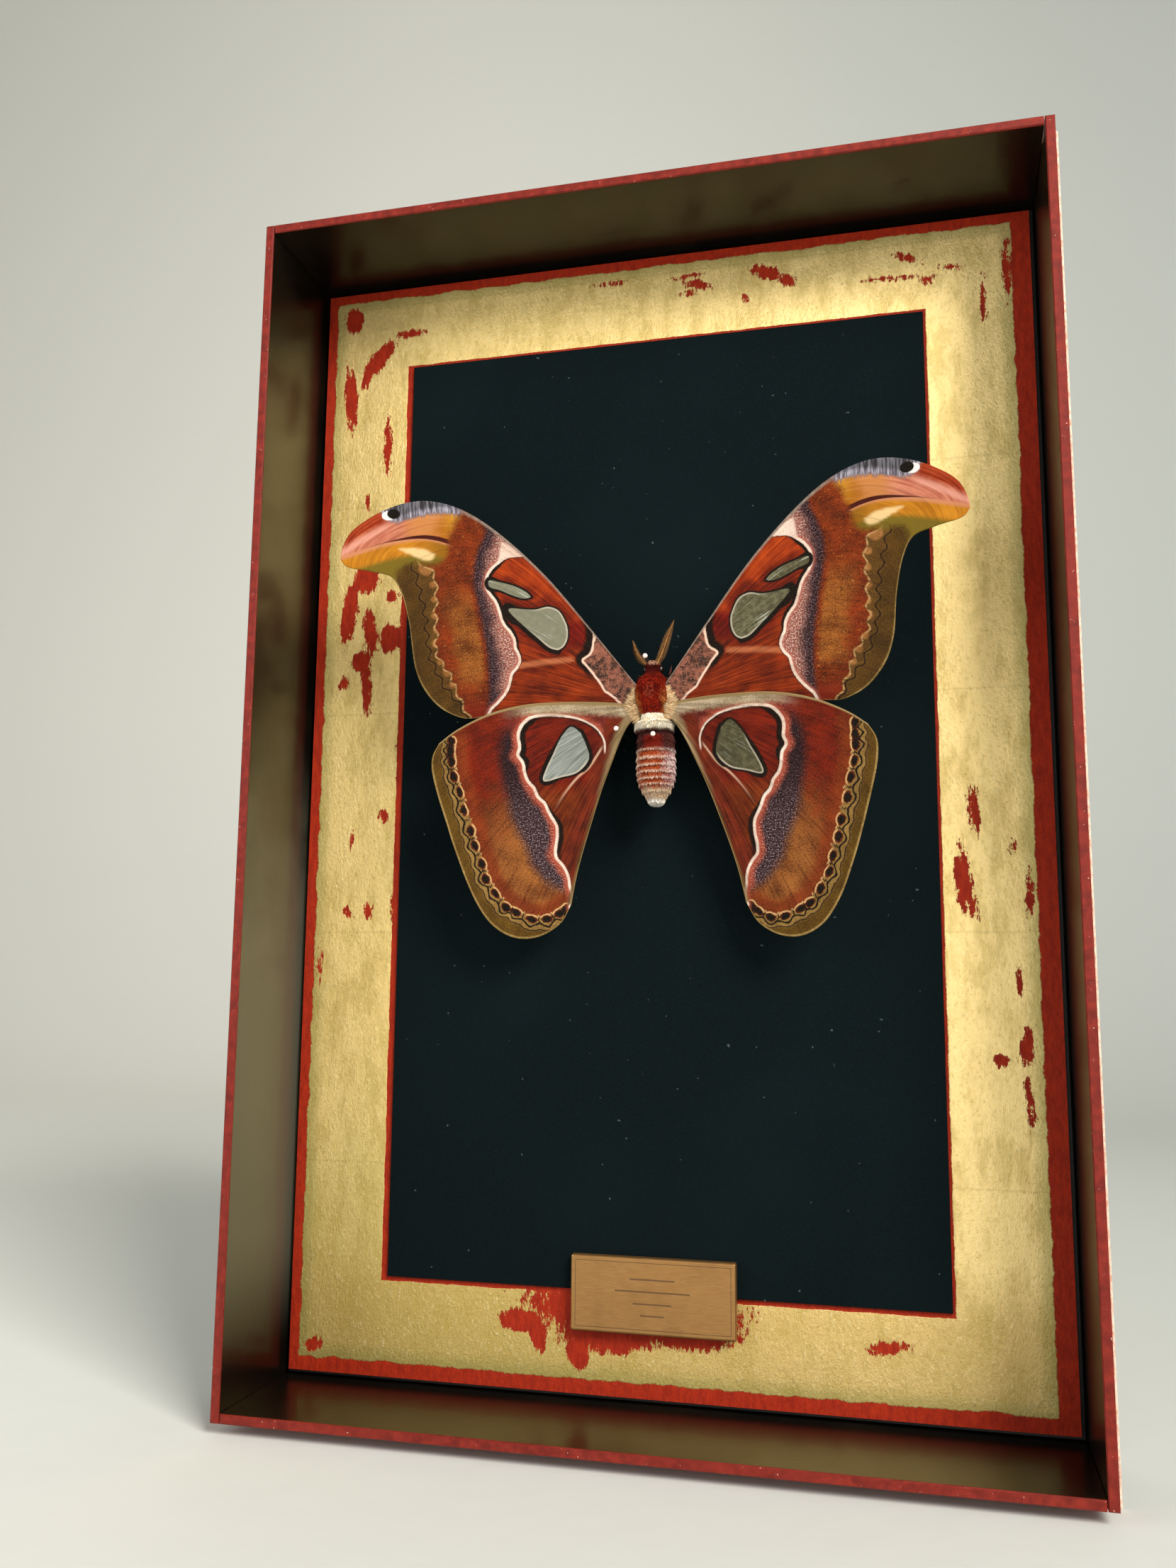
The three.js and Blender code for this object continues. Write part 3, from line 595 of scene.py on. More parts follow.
def coat_finish():
    """Skin and fur alike: deep red thorax, cream collar, banded abdomen with a pale tip."""
    coat = Finish('body_coat', Roughness=0.85, Specular_IOR_Level=0.15)
    root = coat.kept('root', 'Vector')
    across, tip, up = root.apart()
    shade, ring = coat.kept('shade'), coat.kept('ring')
    cloud, fine = root.mottle(0.55, 3), root.mottle(2.2)
    up = up + fine.sway(0.9)
    collar, below_collar = up.step(-6.6, -7.2), up.step(-11.4, -11.9)
    aside = abs(across - 0.9)
    lively = (shade * 0.6 + cloud * 0.7).step(0.35, 0.95)
    # A painted highlight: a round patch on top of the thorax, where the light falls, is painted a paler
    # orange-red.
    light = (across * across / 3 + (up - 0.4) * (up - 0.4) / 5).step(1.4, 0.2)
    flank = (abs(across) + cloud.sway(4)).step(2.4, 4.6) * up.step(3.5, -2.5)
    pale_edge = (ring + cloud.sway(0.4)).step(0.6, 0.8)
    dark_joint = ring.step(0, 0.04) * ring.step(0.3, 0.1)
    right_flank = ((across - 0.9) + cloud.sway(8) + shade.sway(2.5)).step(2.6, 5.2)
    left_flank = ((0.9 - across) + cloud.sway(6) + shade.sway(1.5)).step(4.2, 6.4)
    red = layered(lively.mix('#560a03', '#b4300f'),
        ((up + cloud.sway(4)).step(4, 8) * 0.8, '#3c0a05'),
        (light * shade.step(0.3, 0.8) * 0.8, '#d2684a'),
        (flank * 0.8, shade.mix('#b4561e', '#e2a45c')),
        (up.step(9.6, 10.3) * abs(across - 0.3).step(1.5, 0.9), '#d8a88c'))
    cream = layered(lively.mix('#ead6b4', '#fffaec'),
        ((abs(across - 0.4) + (cloud - 0.5)).step(3.6, 4.4) * up.step(-10.6, -9.8), '#4c2414'))
    dark_ring = layered(lively.mix('#2c1210', '#74403a'),
        (aside.step(4.4, 1.6) * up.step(-14.2, -15.6) * 0.9, '#8c220c'))
    band = layered(lively.mix('#8c2c0e', '#d26a34'),
        (pale_edge * 0.9, shade.mix('#d6a288', '#f2d8c4')),
        (dark_joint * 0.6, '#6a1c0a'),
        (right_flank * 0.75, fine.step(0.45, 0.62).mix('#f6e6e2', '#8f4a58')),
        (left_flank * 0.6, '#e8ccb8'),
        ((up + cloud.sway(3)).step(-31.6, -33), shade.mix('#c09c7c', '#e8d0b4')),
        (up.step(-35.4, -36.4), '#fbf4ea'))
    in_shade = tip.step(0.7, 0) * (0.45 - collar * (1 - below_collar) * 0.35)
    colour = layered(collar.mix(red, cream),
        (below_collar, dark_ring),
        (up.step(-18.8, -19.8), band))
    coat.feed('Base Color', in_shade.mix(colour, '#160503').deepened(1.1))
    coat.relief(fine, 0.0004, 0.4)
    return coat


body_coat = coat_finish()
top, bottom = trunk_run[-1, 0], trunk_run[0, 0]
bm = bmesh.new()
bmesh.ops.create_uvsphere(bm, u_segments=skin_sides, v_segments=skin_rows, radius=1)
places = np.array([vert.co for vert in bm.verts])
angles = np.arctan2(places[:, 1], places[:, 0])
across, lift, ups = trunk_surface((top + bottom) / 2 + (top - bottom) / 2 * places[:, 2], angles)
skin_mesh = mesh_of(bm, 'body_skin')
skin_mesh.vertices.foreach_set('co', set_out(across, lift, ups).astype(np.float32).ravel())
tag(skin_mesh, 'root', np.stack([across, np.full(len(ups), 0.25), ups], -1))
tag(skin_mesh, 'shade', np.full(len(ups), 0.3))
tag(skin_mesh, 'ring', ring_share(ups))
skin_mesh.update()
add_piece('body_skin', skin_mesh, body_coat, 'red_fur', ['thorax', 'collar', 'abdomen', 'head'])


# The coat is short fur in fine tufts that lie back along the body, longest over the shoulders and
# the collar, and close and flat on the rings, whose rear edges carry a fringe. Each tuft has a
# patch of its own on the UV map, where its root is on the unrolled skin.
patch_size = 0.0015


def tufts(name, roots, outward, lie, length, width, stand, patches, marks):
    """Thin three-sided tapered tufts, rooted in the skin and bent back along its lie."""
    count = len(roots)
    length, width, stand = (np.broadcast_to(v, count)[:, None] for v in (length, width, stand))
    aside = np.cross(lie, outward)
    rise, droop = (np.cos(turn) * lie + np.sin(turn) * outward for turn in (stand, stand * 0.35))
    base = roots - outward * width * 0.6
    middle = roots + rise * length * 0.5
    rows = [
        place + (a * aside + b * outward) * width * thick
        for place, thick in ((base, 0.5), (middle, 0.42)) for a, b in ((-1, 0), (1, 0), (0, 0.9))]
    rows.append(middle + droop * length * 0.5)
    points = np.stack(rows, 1)
    walls = np.array([(0, 1, 4, 3), (1, 2, 5, 4), (2, 0, 3, 5)])
    ends = np.array([(3, 4, 6), (4, 5, 6), (5, 3, 6), (2, 1, 0)])
    start = len(rows) * np.arange(count)[:, None, None]
    faces = (walls + start).reshape(-1, 4).tolist() + (ends + start).reshape(-1, 3).tolist()
    mesh = bpy.data.meshes.new(name)
    mesh.from_pydata(points.reshape(-1, 3), [], faces)
    tips = np.tile([0, 0, 0, 0.6, 0.6, 0.6, 1], count)
    marks = {mark: np.repeat(values, len(rows)) for mark, values in marks.items()}
    tag(mesh, 'root', np.stack([marks['across'], tips, marks['up']], -1))
    tag(mesh, 'shade', marks['shade'])
    tag(mesh, 'ring', marks['ring'])
    patch = np.array([(-1, -1), (1, -1), (0, -0.6), (-0.8, 0.2), (0.8, 0.2), (0, 0.4), (0, 1)])
    flat = (patches[:, None, :] + patch * patch_size).reshape(-1, 2)
    corner_of = np.empty(len(mesh.loops), np.int32)
    mesh.loops.foreach_get('vertex_index', corner_of)
    mesh.uv_layers.new(name='OFBake').data.foreach_set('uv', flat[corner_of].astype(np.float32).ravel())
    mesh.shade_smooth()
    return mesh


def body_tufts(name, count, low, high, length, width, stand, seed, slot, keep=None):
    """A coat on one stretch of the body, sown evenly by area."""
    rng = np.random.default_rng(seed)
    levels = np.linspace(low, high, 400)
    weight = np.interp(levels, trunk_run[:, 0], trunk_run[:, 1])
    up = np.interp(rng.random(count), np.cumsum(weight) / weight.sum(), levels)
    angle = rng.uniform(-math.pi, math.pi, count)
    if keep:
        kept = keep(up, angle)
        up, angle = up[kept], angle[kept]
    across, lift, _ = trunk_surface(up, angle)
    roots = set_out(across, lift, up)
    back, aside = (
        unit(set_out(*trunk_surface(up + rise, angle + turn)) - roots)
        for rise, turn in ((-0.05, 0), (0, 0.02)))
    outward = unit(np.cross(back, aside))
    if np.mean(np.sum(outward * (roots - roots.mean(0)), 1)) < 0:
        outward = -outward
    lie = back + aside * rng.normal(0, 0.22, len(up))[:, None]
    lie = unit(lie - outward * np.sum(lie * outward, 1)[:, None])
    spread = rng.uniform(0.75, 1.25, len(up))
    patches = np.stack([(angle / math.tau + 0.5) * 0.99, (up - bottom) / (top - bottom) * 0.99], -1)
    marks = {'across': across, 'up': up, 'shade': rng.random(len(up)), 'ring': ring_share(up)}
    mesh = tufts(name, roots, outward, lie, length(up) * spread * MM, width * spread * MM,
                 stand(up) * rng.uniform(0.7, 1.3, len(up)), patches, marks)
    add_piece(name, mesh, body_coat, slot)


def clear_of_eyes(up, angle):
    """Fur doesn't grow over the compound eyes."""
    across, lift, _ = trunk_surface(up, angle)
    reach = np.sqrt((abs(across) - eye['across']) ** 2 + (lift - eye['lift']) ** 2 + (up - eye['up']) ** 2)
    return reach > eye['radius'] * 0.95


fringe_start = 0.75
coats = (
    # Name, number of tufts, lowest and highest root, length, width, stand in radians, seed, slot, where
    ('head_fur', 2600, 6.2, 11.1, lambda up: 1.2, 0.2, lambda up: 0.5, 11, 'red_fur', clear_of_eyes),
    ('thorax_fur', 15500, -6.6, 6.6, lambda up: 1.7 + 0.5 * np.exp(-((up - 1) / 3) ** 2), 0.23,
     lambda up: 0.42, 12, 'red_fur'),
    ('collar_fur', 7000, -12.4, -6.6, lambda up: 1.6 + 0.5 * (up < -9), 0.23,
     lambda up: 0.36, 13, 'cream_fur'),
    ('abdomen_fur', 18500, -37.7, -12.9,
     lambda up: 0.9 + 0.25 * (ring_share(up) > fringe_start) + 0.5 * (up < -36), 0.18,
     lambda up: 0.16 + 0.1 * (ring_share(up) > fringe_start), 14, 'banded_fur'))
for coat in coats:
    body_tufts(*coat)


# The compound eyes are dark glossy globes with a fine honeycomb of facets, let into the sides of
# the head so that half of each shows.
def ball(name, radius, centre, sides, rows, squeeze=1):
    """A globe on the moth, squeezed across."""
    bm = bmesh.new()
    bmesh.ops.create_uvsphere(bm, u_segments=sides, v_segments=rows, radius=radius * MM)
    bmesh.ops.scale(bm, vec=(squeeze, 1, 1), verts=bm.verts)
    bmesh.ops.translate(bm, vec=set_out(*centre), verts=bm.verts)
    return mesh_of(bm, name)


facets = Finish('compound_eye', Roughness=0.22, Coat_Weight=0.4)
cells = facets.node('ShaderNodeTexVoronoi', {'feature': 'DISTANCE_TO_EDGE'}, {
    'Vector': facets.place(), 'Scale': 7}, 'Distance')
facets.feed('Base Color', cells.step(0, 0.12).mix('#2a1a10', '#0d0806'))
facets.relief(cells, 0.00006, 0.6)
sides = (('left', -1), ('right', 1))
for side, sign in sides:
    globe = ball('eyeball', eye['radius'], (sign * eye['across'], eye['lift'], eye['up']), 40, 28, 0.9)
    add_piece(f'eyeball_{side}', globe, facets, 'compound_eye', [f'eye_{side}'])


# The antennae are bent stems with two rows of fine hairy rami on each side, longest a third of
# the way out, so that each looks like a narrow leaf. Each stem is rooted in the brow.
def grained(name, rough, noise, ends, dark, light, depth, strength):
    """A finish whose colour and relief both follow one fine noise."""
    finish = Finish(name, Roughness=rough)
    grain = finish.place().mottle(*noise)
    finish.feed('Base Color', grain.step(*ends).mix(dark, light))
    finish.relief(grain, depth, strength)
    return finish


comb_finish = grained('antenna_comb', 0.75, (2, 2), (0.3, 0.7), '#6b4420', '#b07a3c', 0.0001, 0.3)
antennae = {
    # The stem's line, and which way the face of the comb looks
    'left': (((-0.8, 18, 9), (-4.4, 17.2, 12), (-6.8, 14.8, 15.6), (-8.8, 10, 21)), (-0.75, 0.66, 0)),
    'right': (((0.8, 18.4, 9), (3, 19.4, 12.4), (5, 20.8, 16.8), (8.2, 22.6, 23.7)), (0.1, 1, 0.1)),
}
comb_reach, comb_pairs, ramus_width = 2.5, 62, 0.16
stem_thick, stem_thin, stem_rows = 0.34, 0.08, 40
for side, (line, facing) in antennae.items():
    share = np.linspace(0, 1, stem_rows)
    stem_line = set_out(*along_run(smooth_run(line), share).T)
    stem = swept(stem_line, (stem_thick + (stem_thin - stem_thick) * share) * MM, 10)
    rng = np.random.default_rng(31)
    place = np.repeat(np.linspace(0.06, 0.985, comb_pairs), 4)
    roots = along_run(stem_line, place)
    ahead = unit(along_run(stem_line, np.minimum(place + 0.01, 1)) - along_run(stem_line, place - 0.01))
    across = unit(np.cross(ahead, headings(*facing)))
    up_face = np.cross(across, ahead)
    sign = np.tile([-1, 1, -1, 1], comb_pairs)[:, None]
    tilt = np.tile([0.32, 0.32, -0.32, -0.32], comb_pairs)[:, None]
    reach = comb_reach * np.sin(np.pi * np.minimum(place + 0.03, 1) ** 0.62) ** 0.7
    reach *= rng.uniform(0.92, 1.05, len(place))
    lie = unit(sign * across * 0.8 + ahead * 0.62 + up_face * tilt * 0.6)
    outward = unit(np.cross(lie, np.cross(ahead, lie)))
    patches = np.stack([place * 0.98, 0.5 + 0.2 * sign[:, 0] + 0.1 * tilt[:, 0]], -1)
    marks = {'across': place, 'up': place, 'shade': rng.random(len(place)), 'ring': place}
    rami = tufts('rami', roots, outward, lie, reach * MM, ramus_width * MM, 0.25, patches, marks)
    stem_mesh = mesh_of(stem, 'antenna_stem')
    add_piece(f'antenna_stem_{side}', stem_mesh, comb_finish, 'antenna_comb', [f'antenna_{side}'])
    add_piece(f'antenna_rami_{side}', rami, comb_finish, 'antenna_comb')

# Six legs folded under the thorax, each a furred thigh and shin and a thin jointed foot that
# ends in two claws.
leg_finish = grained('leg_scales', 0.85, (2.4, 3), (0.3, 0.7), '#2c100b', '#6a3022', 0.0002, 0.4)
legs = {
    # Hip, knee, ankle and toe, on the right side
    'foreleg': ((2.6, 14.6, 4.2), (6.2, 11, 7.2), (3.4, 6.4, 8.6), (3.8, 4.4, 12.4)),
    'midleg': ((3.2, 14.4, 0.6), (8.6, 10, 1.6), (5, 5.4, 2.4), (4.4, 4, 7.4)),
    'hindleg': ((3, 14.4, -3.4), (8, 10, -5.4), (4.6, 5.6, -8.4), (3.8, 4, -13.2)),
}
limb_radii = ((0.78, 0.52), (0.5, 0.36), (0.34, 0.2))
limb_rows, claw_rows, limb_hairs = 12, 8, 420
limb_side = (0.3, 1, 0.2)
limb_hair = {'length': 0.9, 'width': 0.14, 'stand': 0.45, 'thigh': 0.62, 'shin': 0.4}
for number, (leg, joints) in enumerate(legs.items()):
    for side, sign in sides:
        stops = np.array([(sign * x, lift, up) for x, lift, up in joints])
        share = np.linspace(0, 1, limb_rows)
        bars = []
        for start, end, (thick, thin) in zip(stops, stops[1:], limb_radii):
            line = start + (end - start) * share[:, None]
            radii = thick + (thin - thick) * share + 0.08 * np.sin(np.pi * share)
            bars.append(swept(set_out(*line.T), radii * MM, reference=limb_side))
        foot = headings(*(stops[3] - stops[2]))
        share = np.linspace(0, 1, claw_rows)
        for turn in (-0.5, 0.5):
            claw = headings(turn, -0.4, 1 if stops[3][2] > stops[2][2] else -1)
            line = set_out(*stops[3]) + (claw * share[:, None] - foot * 0.1 * share[:, None] ** 2) * 0.6 * MM
            bars.append(swept(line, (0.12 - 0.1 * share) * MM, 6, limb_side))
        limb = joined_mesh('limb', bars)
        add_piece(f'{leg}_limb_{side}', limb, leg_finish, 'leg_scales', [f'{leg}_{side}'])
        rng = np.random.default_rng(41 + number)
        place = rng.random(limb_hairs)
        part = rng.integers(0, 2, limb_hairs)
        starts, ends = stops[part], stops[part + 1]
        line = headings(*(ends - starts).T)
        turn = rng.uniform(0, math.tau, limb_hairs)
        one = unit(np.cross(line, limb_side))
        outward = one * np.cos(turn)[:, None] + np.cross(line, one) * np.sin(turn)[:, None]
        roots = set_out(*(starts + (ends - starts) * place[:, None]).T)
        roots += outward * np.where(part == 0, limb_hair['thigh'], limb_hair['shin'])[:, None] * MM
        marks = {'across': place, 'up': place, 'shade': rng.random(limb_hairs), 'ring': place}
        patches = np.stack([place * 0.98, (part + turn / math.tau) * 0.49], -1)
        hair = tufts('limb_hair', roots, outward, line, limb_hair['length'] * MM, limb_hair['width'] * MM,
                     limb_hair['stand'], patches, marks)
        add_piece(f'{leg}_hair_{side}', hair, leg_finish, 'leg_scales')

# Fine steel pins with pale enamelled ball heads: one holds the head, one goes through the first
# ring of the abdomen and one through the root of the left hindwing.
enamel = Finish('pin_enamel', Roughness=0.25, Coat_Weight=0.5)
speck = enamel.place().mottle(1.2, 2)
enamel.feed('Base Color', speck.step(0.4, 0.7).mix('#f4e6dc', '#dcc4b8'))
steel = Finish('pin_steel', Metallic=1)
drawn = steel.place().scaled(1, 0.2, 1).mottle(8)
steel.feed('Base Color', drawn.mix('#6b6a68', '#a5a29c'))
steel.feed('Roughness', 0.25 + drawn * 0.2)
pins = {
    # Across, up, and the lift of the bead and of the point
    'pin_head': (-1.5, 11.6, 24, 1.9), 'pin_abdomen': (1.5, -15.4, 26.6, 1.9),
    'pin_hindwing': (-11.4, -12.6, 24.2, 1.9),
}
pin_radius, bead_radius, pin_rows = 0.2, 0.85, 10
for name, (x, up, top_lift, point_lift) in pins.items():
    lift = np.linspace(point_lift, top_lift, pin_rows)
    shaft = swept(set_out(x, lift, up), np.full(pin_rows, pin_radius * MM))
    parts = [name] + (['pin_hindwing_shaft'] if name == 'pin_hindwing' else [])
    add_piece(name + '_needle', mesh_of(shaft, 'needle'), steel, 'pin_steel', parts)
    add_piece(name + '_bead', ball('bead', bead_radius, (x, top_lift, up), 32, 20), enamel, 'pin_steel')

# The post behind the thorax is a plug of cork, glued to the card. It carries the moth, and keeps
# the mesh of its solid.
cork = grained('cork', 0.9, (1.2, 4, 0.7), (0.35, 0.65), '#2e2015', '#7a5a3c', 0.0003, 0.5)
refinish(cork, 'support_post')

# The wings are thin dry membranes under overlapping scales, carried by raised veins. Both wings of
# a pair share one outline, drawn as three smooth runs in plan: the leading edge from the root to
# the tip, the outer margin down to the rear corner, and the inner edge from the root to it.
fore_outline = {
    'lead': (
        (3, 0), (7, 5), (20, 21.9), (35, 40.5), (50, 55), (60, 62.1), (68, 65.5), (76, 66.6), (85, 64.9),
        (94, 60.6), (100.4, 55.4), (103.2, 49.4), (103.5, 46.8)),
    'outer': (
        (103.5, 46.8), (101.6, 44.6), (93.6, 42.8), (86.6, 40.8), (83.4, 35.4), (81, 25), (79.3, 10),
        (76.4, 2.4), (70.6, -4.2), (63, -7.5), (57.4, -7)),
    'inner': ((3, -4), (14, -7.2), (30, -8.8), (45, -8.6), (57.4, -7)),
    'veins': ((0.13, 0), (0.27, 0.42), (0.39, 0.46), (0.51, 0.44), (0.63, 0.36), (0.76, 0), (0.89, 0)),
    # How high the surface stands, with x and z in units of lift_scale
    'lift': lambda x, z: 21 + 5.4 * x + 3.9 * z + 1.1 * x * x + 1.25 * x * z,
}
hind_outline = {
    'lead': ((3, -5.4), (10, -4.1), (28, -3.5), (42, -4.3), (54, -7.2), (65, -12.4), (70.6, -16.4)),
    'outer': (
        (70.6, -16.4), (73.2, -21), (73.3, -27), (69.4, -43), (64.8, -58), (59.8, -70.2), (54.4, -77.6),
        (47.6, -81.2), (40.4, -80.8), (33.4, -76.6), (29.4, -70)),
    'inner': ((3, -8), (7.4, -10.2), (15, -25), (21.5, -42), (26.7, -58), (28.6, -66), (29.4, -70)),
    'veins': ((0.1, 0), (0.22, 0), (0.35, 0.38), (0.48, 0.42), (0.62, 0.38), (0.76, 0), (0.9, 0)),
    'lift': lambda x, z: 23.2 + 10.2 * x + 18 * z - 0.8 * x * x - 3.8 * x * z + 3.5 * z * z,
}
wing_film, vein_rise, pleat_sag = 0.22, 0.16, 0.16
vein_wide, edge_vein_wide = 0.32, 0.5
lift_scale = 50
wing_columns, wing_rows = 230, 150
# Points for each span of a line of the pattern
pattern_steps = 5


def wing_lift(outline, x, z):
    """How high the wing's surface stands in front of the board, before its veins and pleats."""
    return outline['lift'](x / lift_scale, z / lift_scale)


def wing_plan(outline, u, v):
    """The patch between the four edges: u from root to margin, v from leading to inner edge."""
    lead, outer, inner = (smooth_run(outline[edge]) for edge in ('lead', 'outer', 'inner'))
    u, v = u[:, None], v[:, None]
    root_lead, root_inner, tip, corner = lead[0], inner[0], lead[-1], inner[-1]
    plan = (1 - v) * along_run(lead, u[:, 0]) + v * along_run(inner, u[:, 0])
    plan += (1 - u) * (root_lead + (root_inner - root_lead) * v) + u * along_run(outer, v[:, 0])
    return plan - ((1 - u) * ((1 - v) * root_lead + v * root_inner) + u * ((1 - v) * tip + v * corner))


def reach_of(points, run):
    """How far points lie from a run, positive on the left of its direction, and the length along
    the run to the nearest place."""
    best = np.full(len(points), 1e9)
    signed, along = np.zeros(len(points)), np.zeros(len(points))
    passed = 0
    for start, end in zip(run, run[1:]):
        step = end - start
        length = np.linalg.norm(step)
        away = points - start
        share = np.clip(away @ step / length ** 2, 0, 1)
        reach = np.hypot(*(away - share[:, None] * step).T)
        nearer = reach < best
        best = np.where(nearer, reach, best)
        side = np.where(step[0] * away[:, 1] - step[1] * away[:, 0] >= 0, 1, -1)
        signed = np.where(nearer, reach * side, signed)
        along = np.where(nearer, passed + share * length, along)
        passed += length
    return signed, along


def loop_reach(points, loop):
    """How far points lie outside a closed loop, negative inside it."""
    run = smooth_run(list(loop) + [loop[0]], pattern_steps)
    reach = abs(reach_of(points, run)[0])
    x, z = points.T
    inside = np.zeros(len(points), bool)
    for (x1, z1), (x2, z2) in zip(run, run[1:]):
        crosses = (z1 > z) != (z2 > z)
        inside ^= crosses & (x < (x2 - x1) * (z - z1) / (z2 - z1 + 1e-12) + x1)
    return np.where(inside, -reach, reach)


def wing_fields(outline):
    """A wing on a grid whose rows follow its veins: shares, plan, lift, crests and rim distances."""
    stops = [0] + [vein for vein, _ in outline['veins']] + [1]
    levels = np.interp(np.arange(wing_rows + 1), [round(stop * wing_rows) for stop in stops], stops)
    u, row = np.meshgrid(np.linspace(0, 1, wing_columns + 1), np.arange(wing_rows + 1))
    u, v = u.ravel(), levels[row.ravel()]
    none, whole = np.zeros_like(u), np.ones_like(u)
    plan = wing_plan(outline, u, v)
    wide = np.hypot(*(wing_plan(outline, u, whole) - wing_plan(outline, u, none)).T)
    long = np.hypot(*(wing_plan(outline, whole, v) - wing_plan(outline, none, v)).T)
    between = np.interp(v, stops, np.arange(len(stops)))
    lift = wing_lift(outline, *plan.T) - pleat_sag * np.sin(np.pi * (between % 1)) ** 2 * np.minimum(1, 4 * u)
    crest = np.exp(-(np.minimum(v, 1 - v) * wide / edge_vein_wide) ** 2) * 0.6
    for vein, start in outline['veins']:
        strength = np.clip((u - start) / 0.05, 0, 1) if start else 1
        crest = np.maximum(crest, strength * np.exp(-((v - vein) * wide / vein_wide) ** 2))
    lift += vein_rise * crest * (1.1 - 0.6 * u)
    rim = np.stack([v * wide, (1 - v) * wide, (1 - u) * long], -1)
    return u, v, plan, lift, crest, rim


def add_wings(kind, fields, marks, finish):
    """The two wings of a pair, as films with the marks of their pattern kept at the vertices."""
    u, v, plan, lift, crest, rim = fields
    for side, sign in sides:
        bm = bmesh.new()
        bmesh.ops.create_grid(bm, x_segments=wing_columns, y_segments=wing_rows, size=1)
        column, row = ((np.array([vert.co[:2] for vert in bm.verts]) + 1) / 2 * (wing_columns, wing_rows)).T
        order = (np.rint(row) * (wing_columns + 1) + np.rint(column)).astype(int)
        if sign < 0:
            bmesh.ops.reverse_faces(bm, faces=bm.faces)
        mesh = mesh_of(bm, f'wing_{kind}_{side}')
        x, z = plan[order].T
        mesh.vertices.foreach_set('co', set_out(sign * x, lift[order], z).astype(np.float32).ravel())
        mesh.update()
        tag(mesh, 'plan', np.stack([x, z, np.full(len(order), 40 * sign)], -1))
        tag(mesh, 'run', np.stack([u[order], v[order], crest[order]], -1))
        tag(mesh, 'rim', rim[order])
        for mark, values in marks.items():
            tag(mesh, mark, values[order])
        made = add_piece(f'wing_{kind}_{side}', mesh, finish, 'wing_scales', [f'{kind}wing_{side}'])
        film = made.modifiers.new('film', 'SOLIDIFY')
        film.thickness = wing_film * MM
        film.offset = 0


def pattern(plan, lines, loops):
    """Distances from each point of a wing to the lines and loops of its pattern."""
    marks = {name: reach_of(plan, smooth_run(line, pattern_steps))[0] for name, line in lines.items()}
    return marks | {name: loop_reach(plan, loop) for name, loop in loops.items()}


def wing_ground(name):
    """A wing's finish, the places that it reads, and the noises that break up its colours."""
    wing = Finish(name, Specular_IOR_Level=0.1)
    plan, run, rim = (wing.kept(mark, 'Vector') for mark in ('plan', 'run', 'rim'))
    x, z, _ = plan.apart()
    crest = run.apart()[2]
    cloud, patch, speck = plan.mottle(0.17, 3), plan.mottle(0.6, 3), plan.mottle(2, 3, 0.65)
    streak = run.scaled(5, 85, 0).mottle(1, 3, 0.6)
    dust = plan.mottle(6.5, 1)
    mealy = (speck * 0.7 + cloud * 0.5 + streak * 0.25).step(0.5, 0.95)
    streaky = (streak * 0.8 + cloud * 0.4).step(0.4, 0.8)
    noises = cloud, patch, speck, streak, dust, patch.sway(0.9)
    return wing, x, z, rim.apart(), crest, noises, mealy, streaky


def membrane(wing, streak, patch, cloud):
    """What shows in a clear pane: haze, glints, and the sheen of the window on the left wings."""
    haze = (streak * 0.5 + patch * 0.5).step(0.4, 0.62)
    glint = (streak * 0.75 + cloud * 0.35).step(0.64, 0.72)
    return haze, glint, wing.place().apart()[0].step(6, -6)


def close_finish(wing, colour, power, pane, crest, streak, dust):
    """The last touches of a wing: redder veins, light and dark scales, and smooth clear panes."""
    colour = layered(colour,
        (crest.step(0.3, 1) * 0.16, '#3a1408'),
        (dust.step(0.55, 0.75) * 0.16, '#f0cca0'),
        (dust.step(0.46, 0.28) * 0.35, '#120503'))
    wing.feed('Base Color', colour.deepened(power))
    wing.feed('Alpha', 1 - pane * 0.2)
    wing.feed('Roughness', 0.78 - pane * 0.38)
    wing.relief(dust * (1 - pane * 0.8) + streak * 0.8, 0.00014, 0.6)
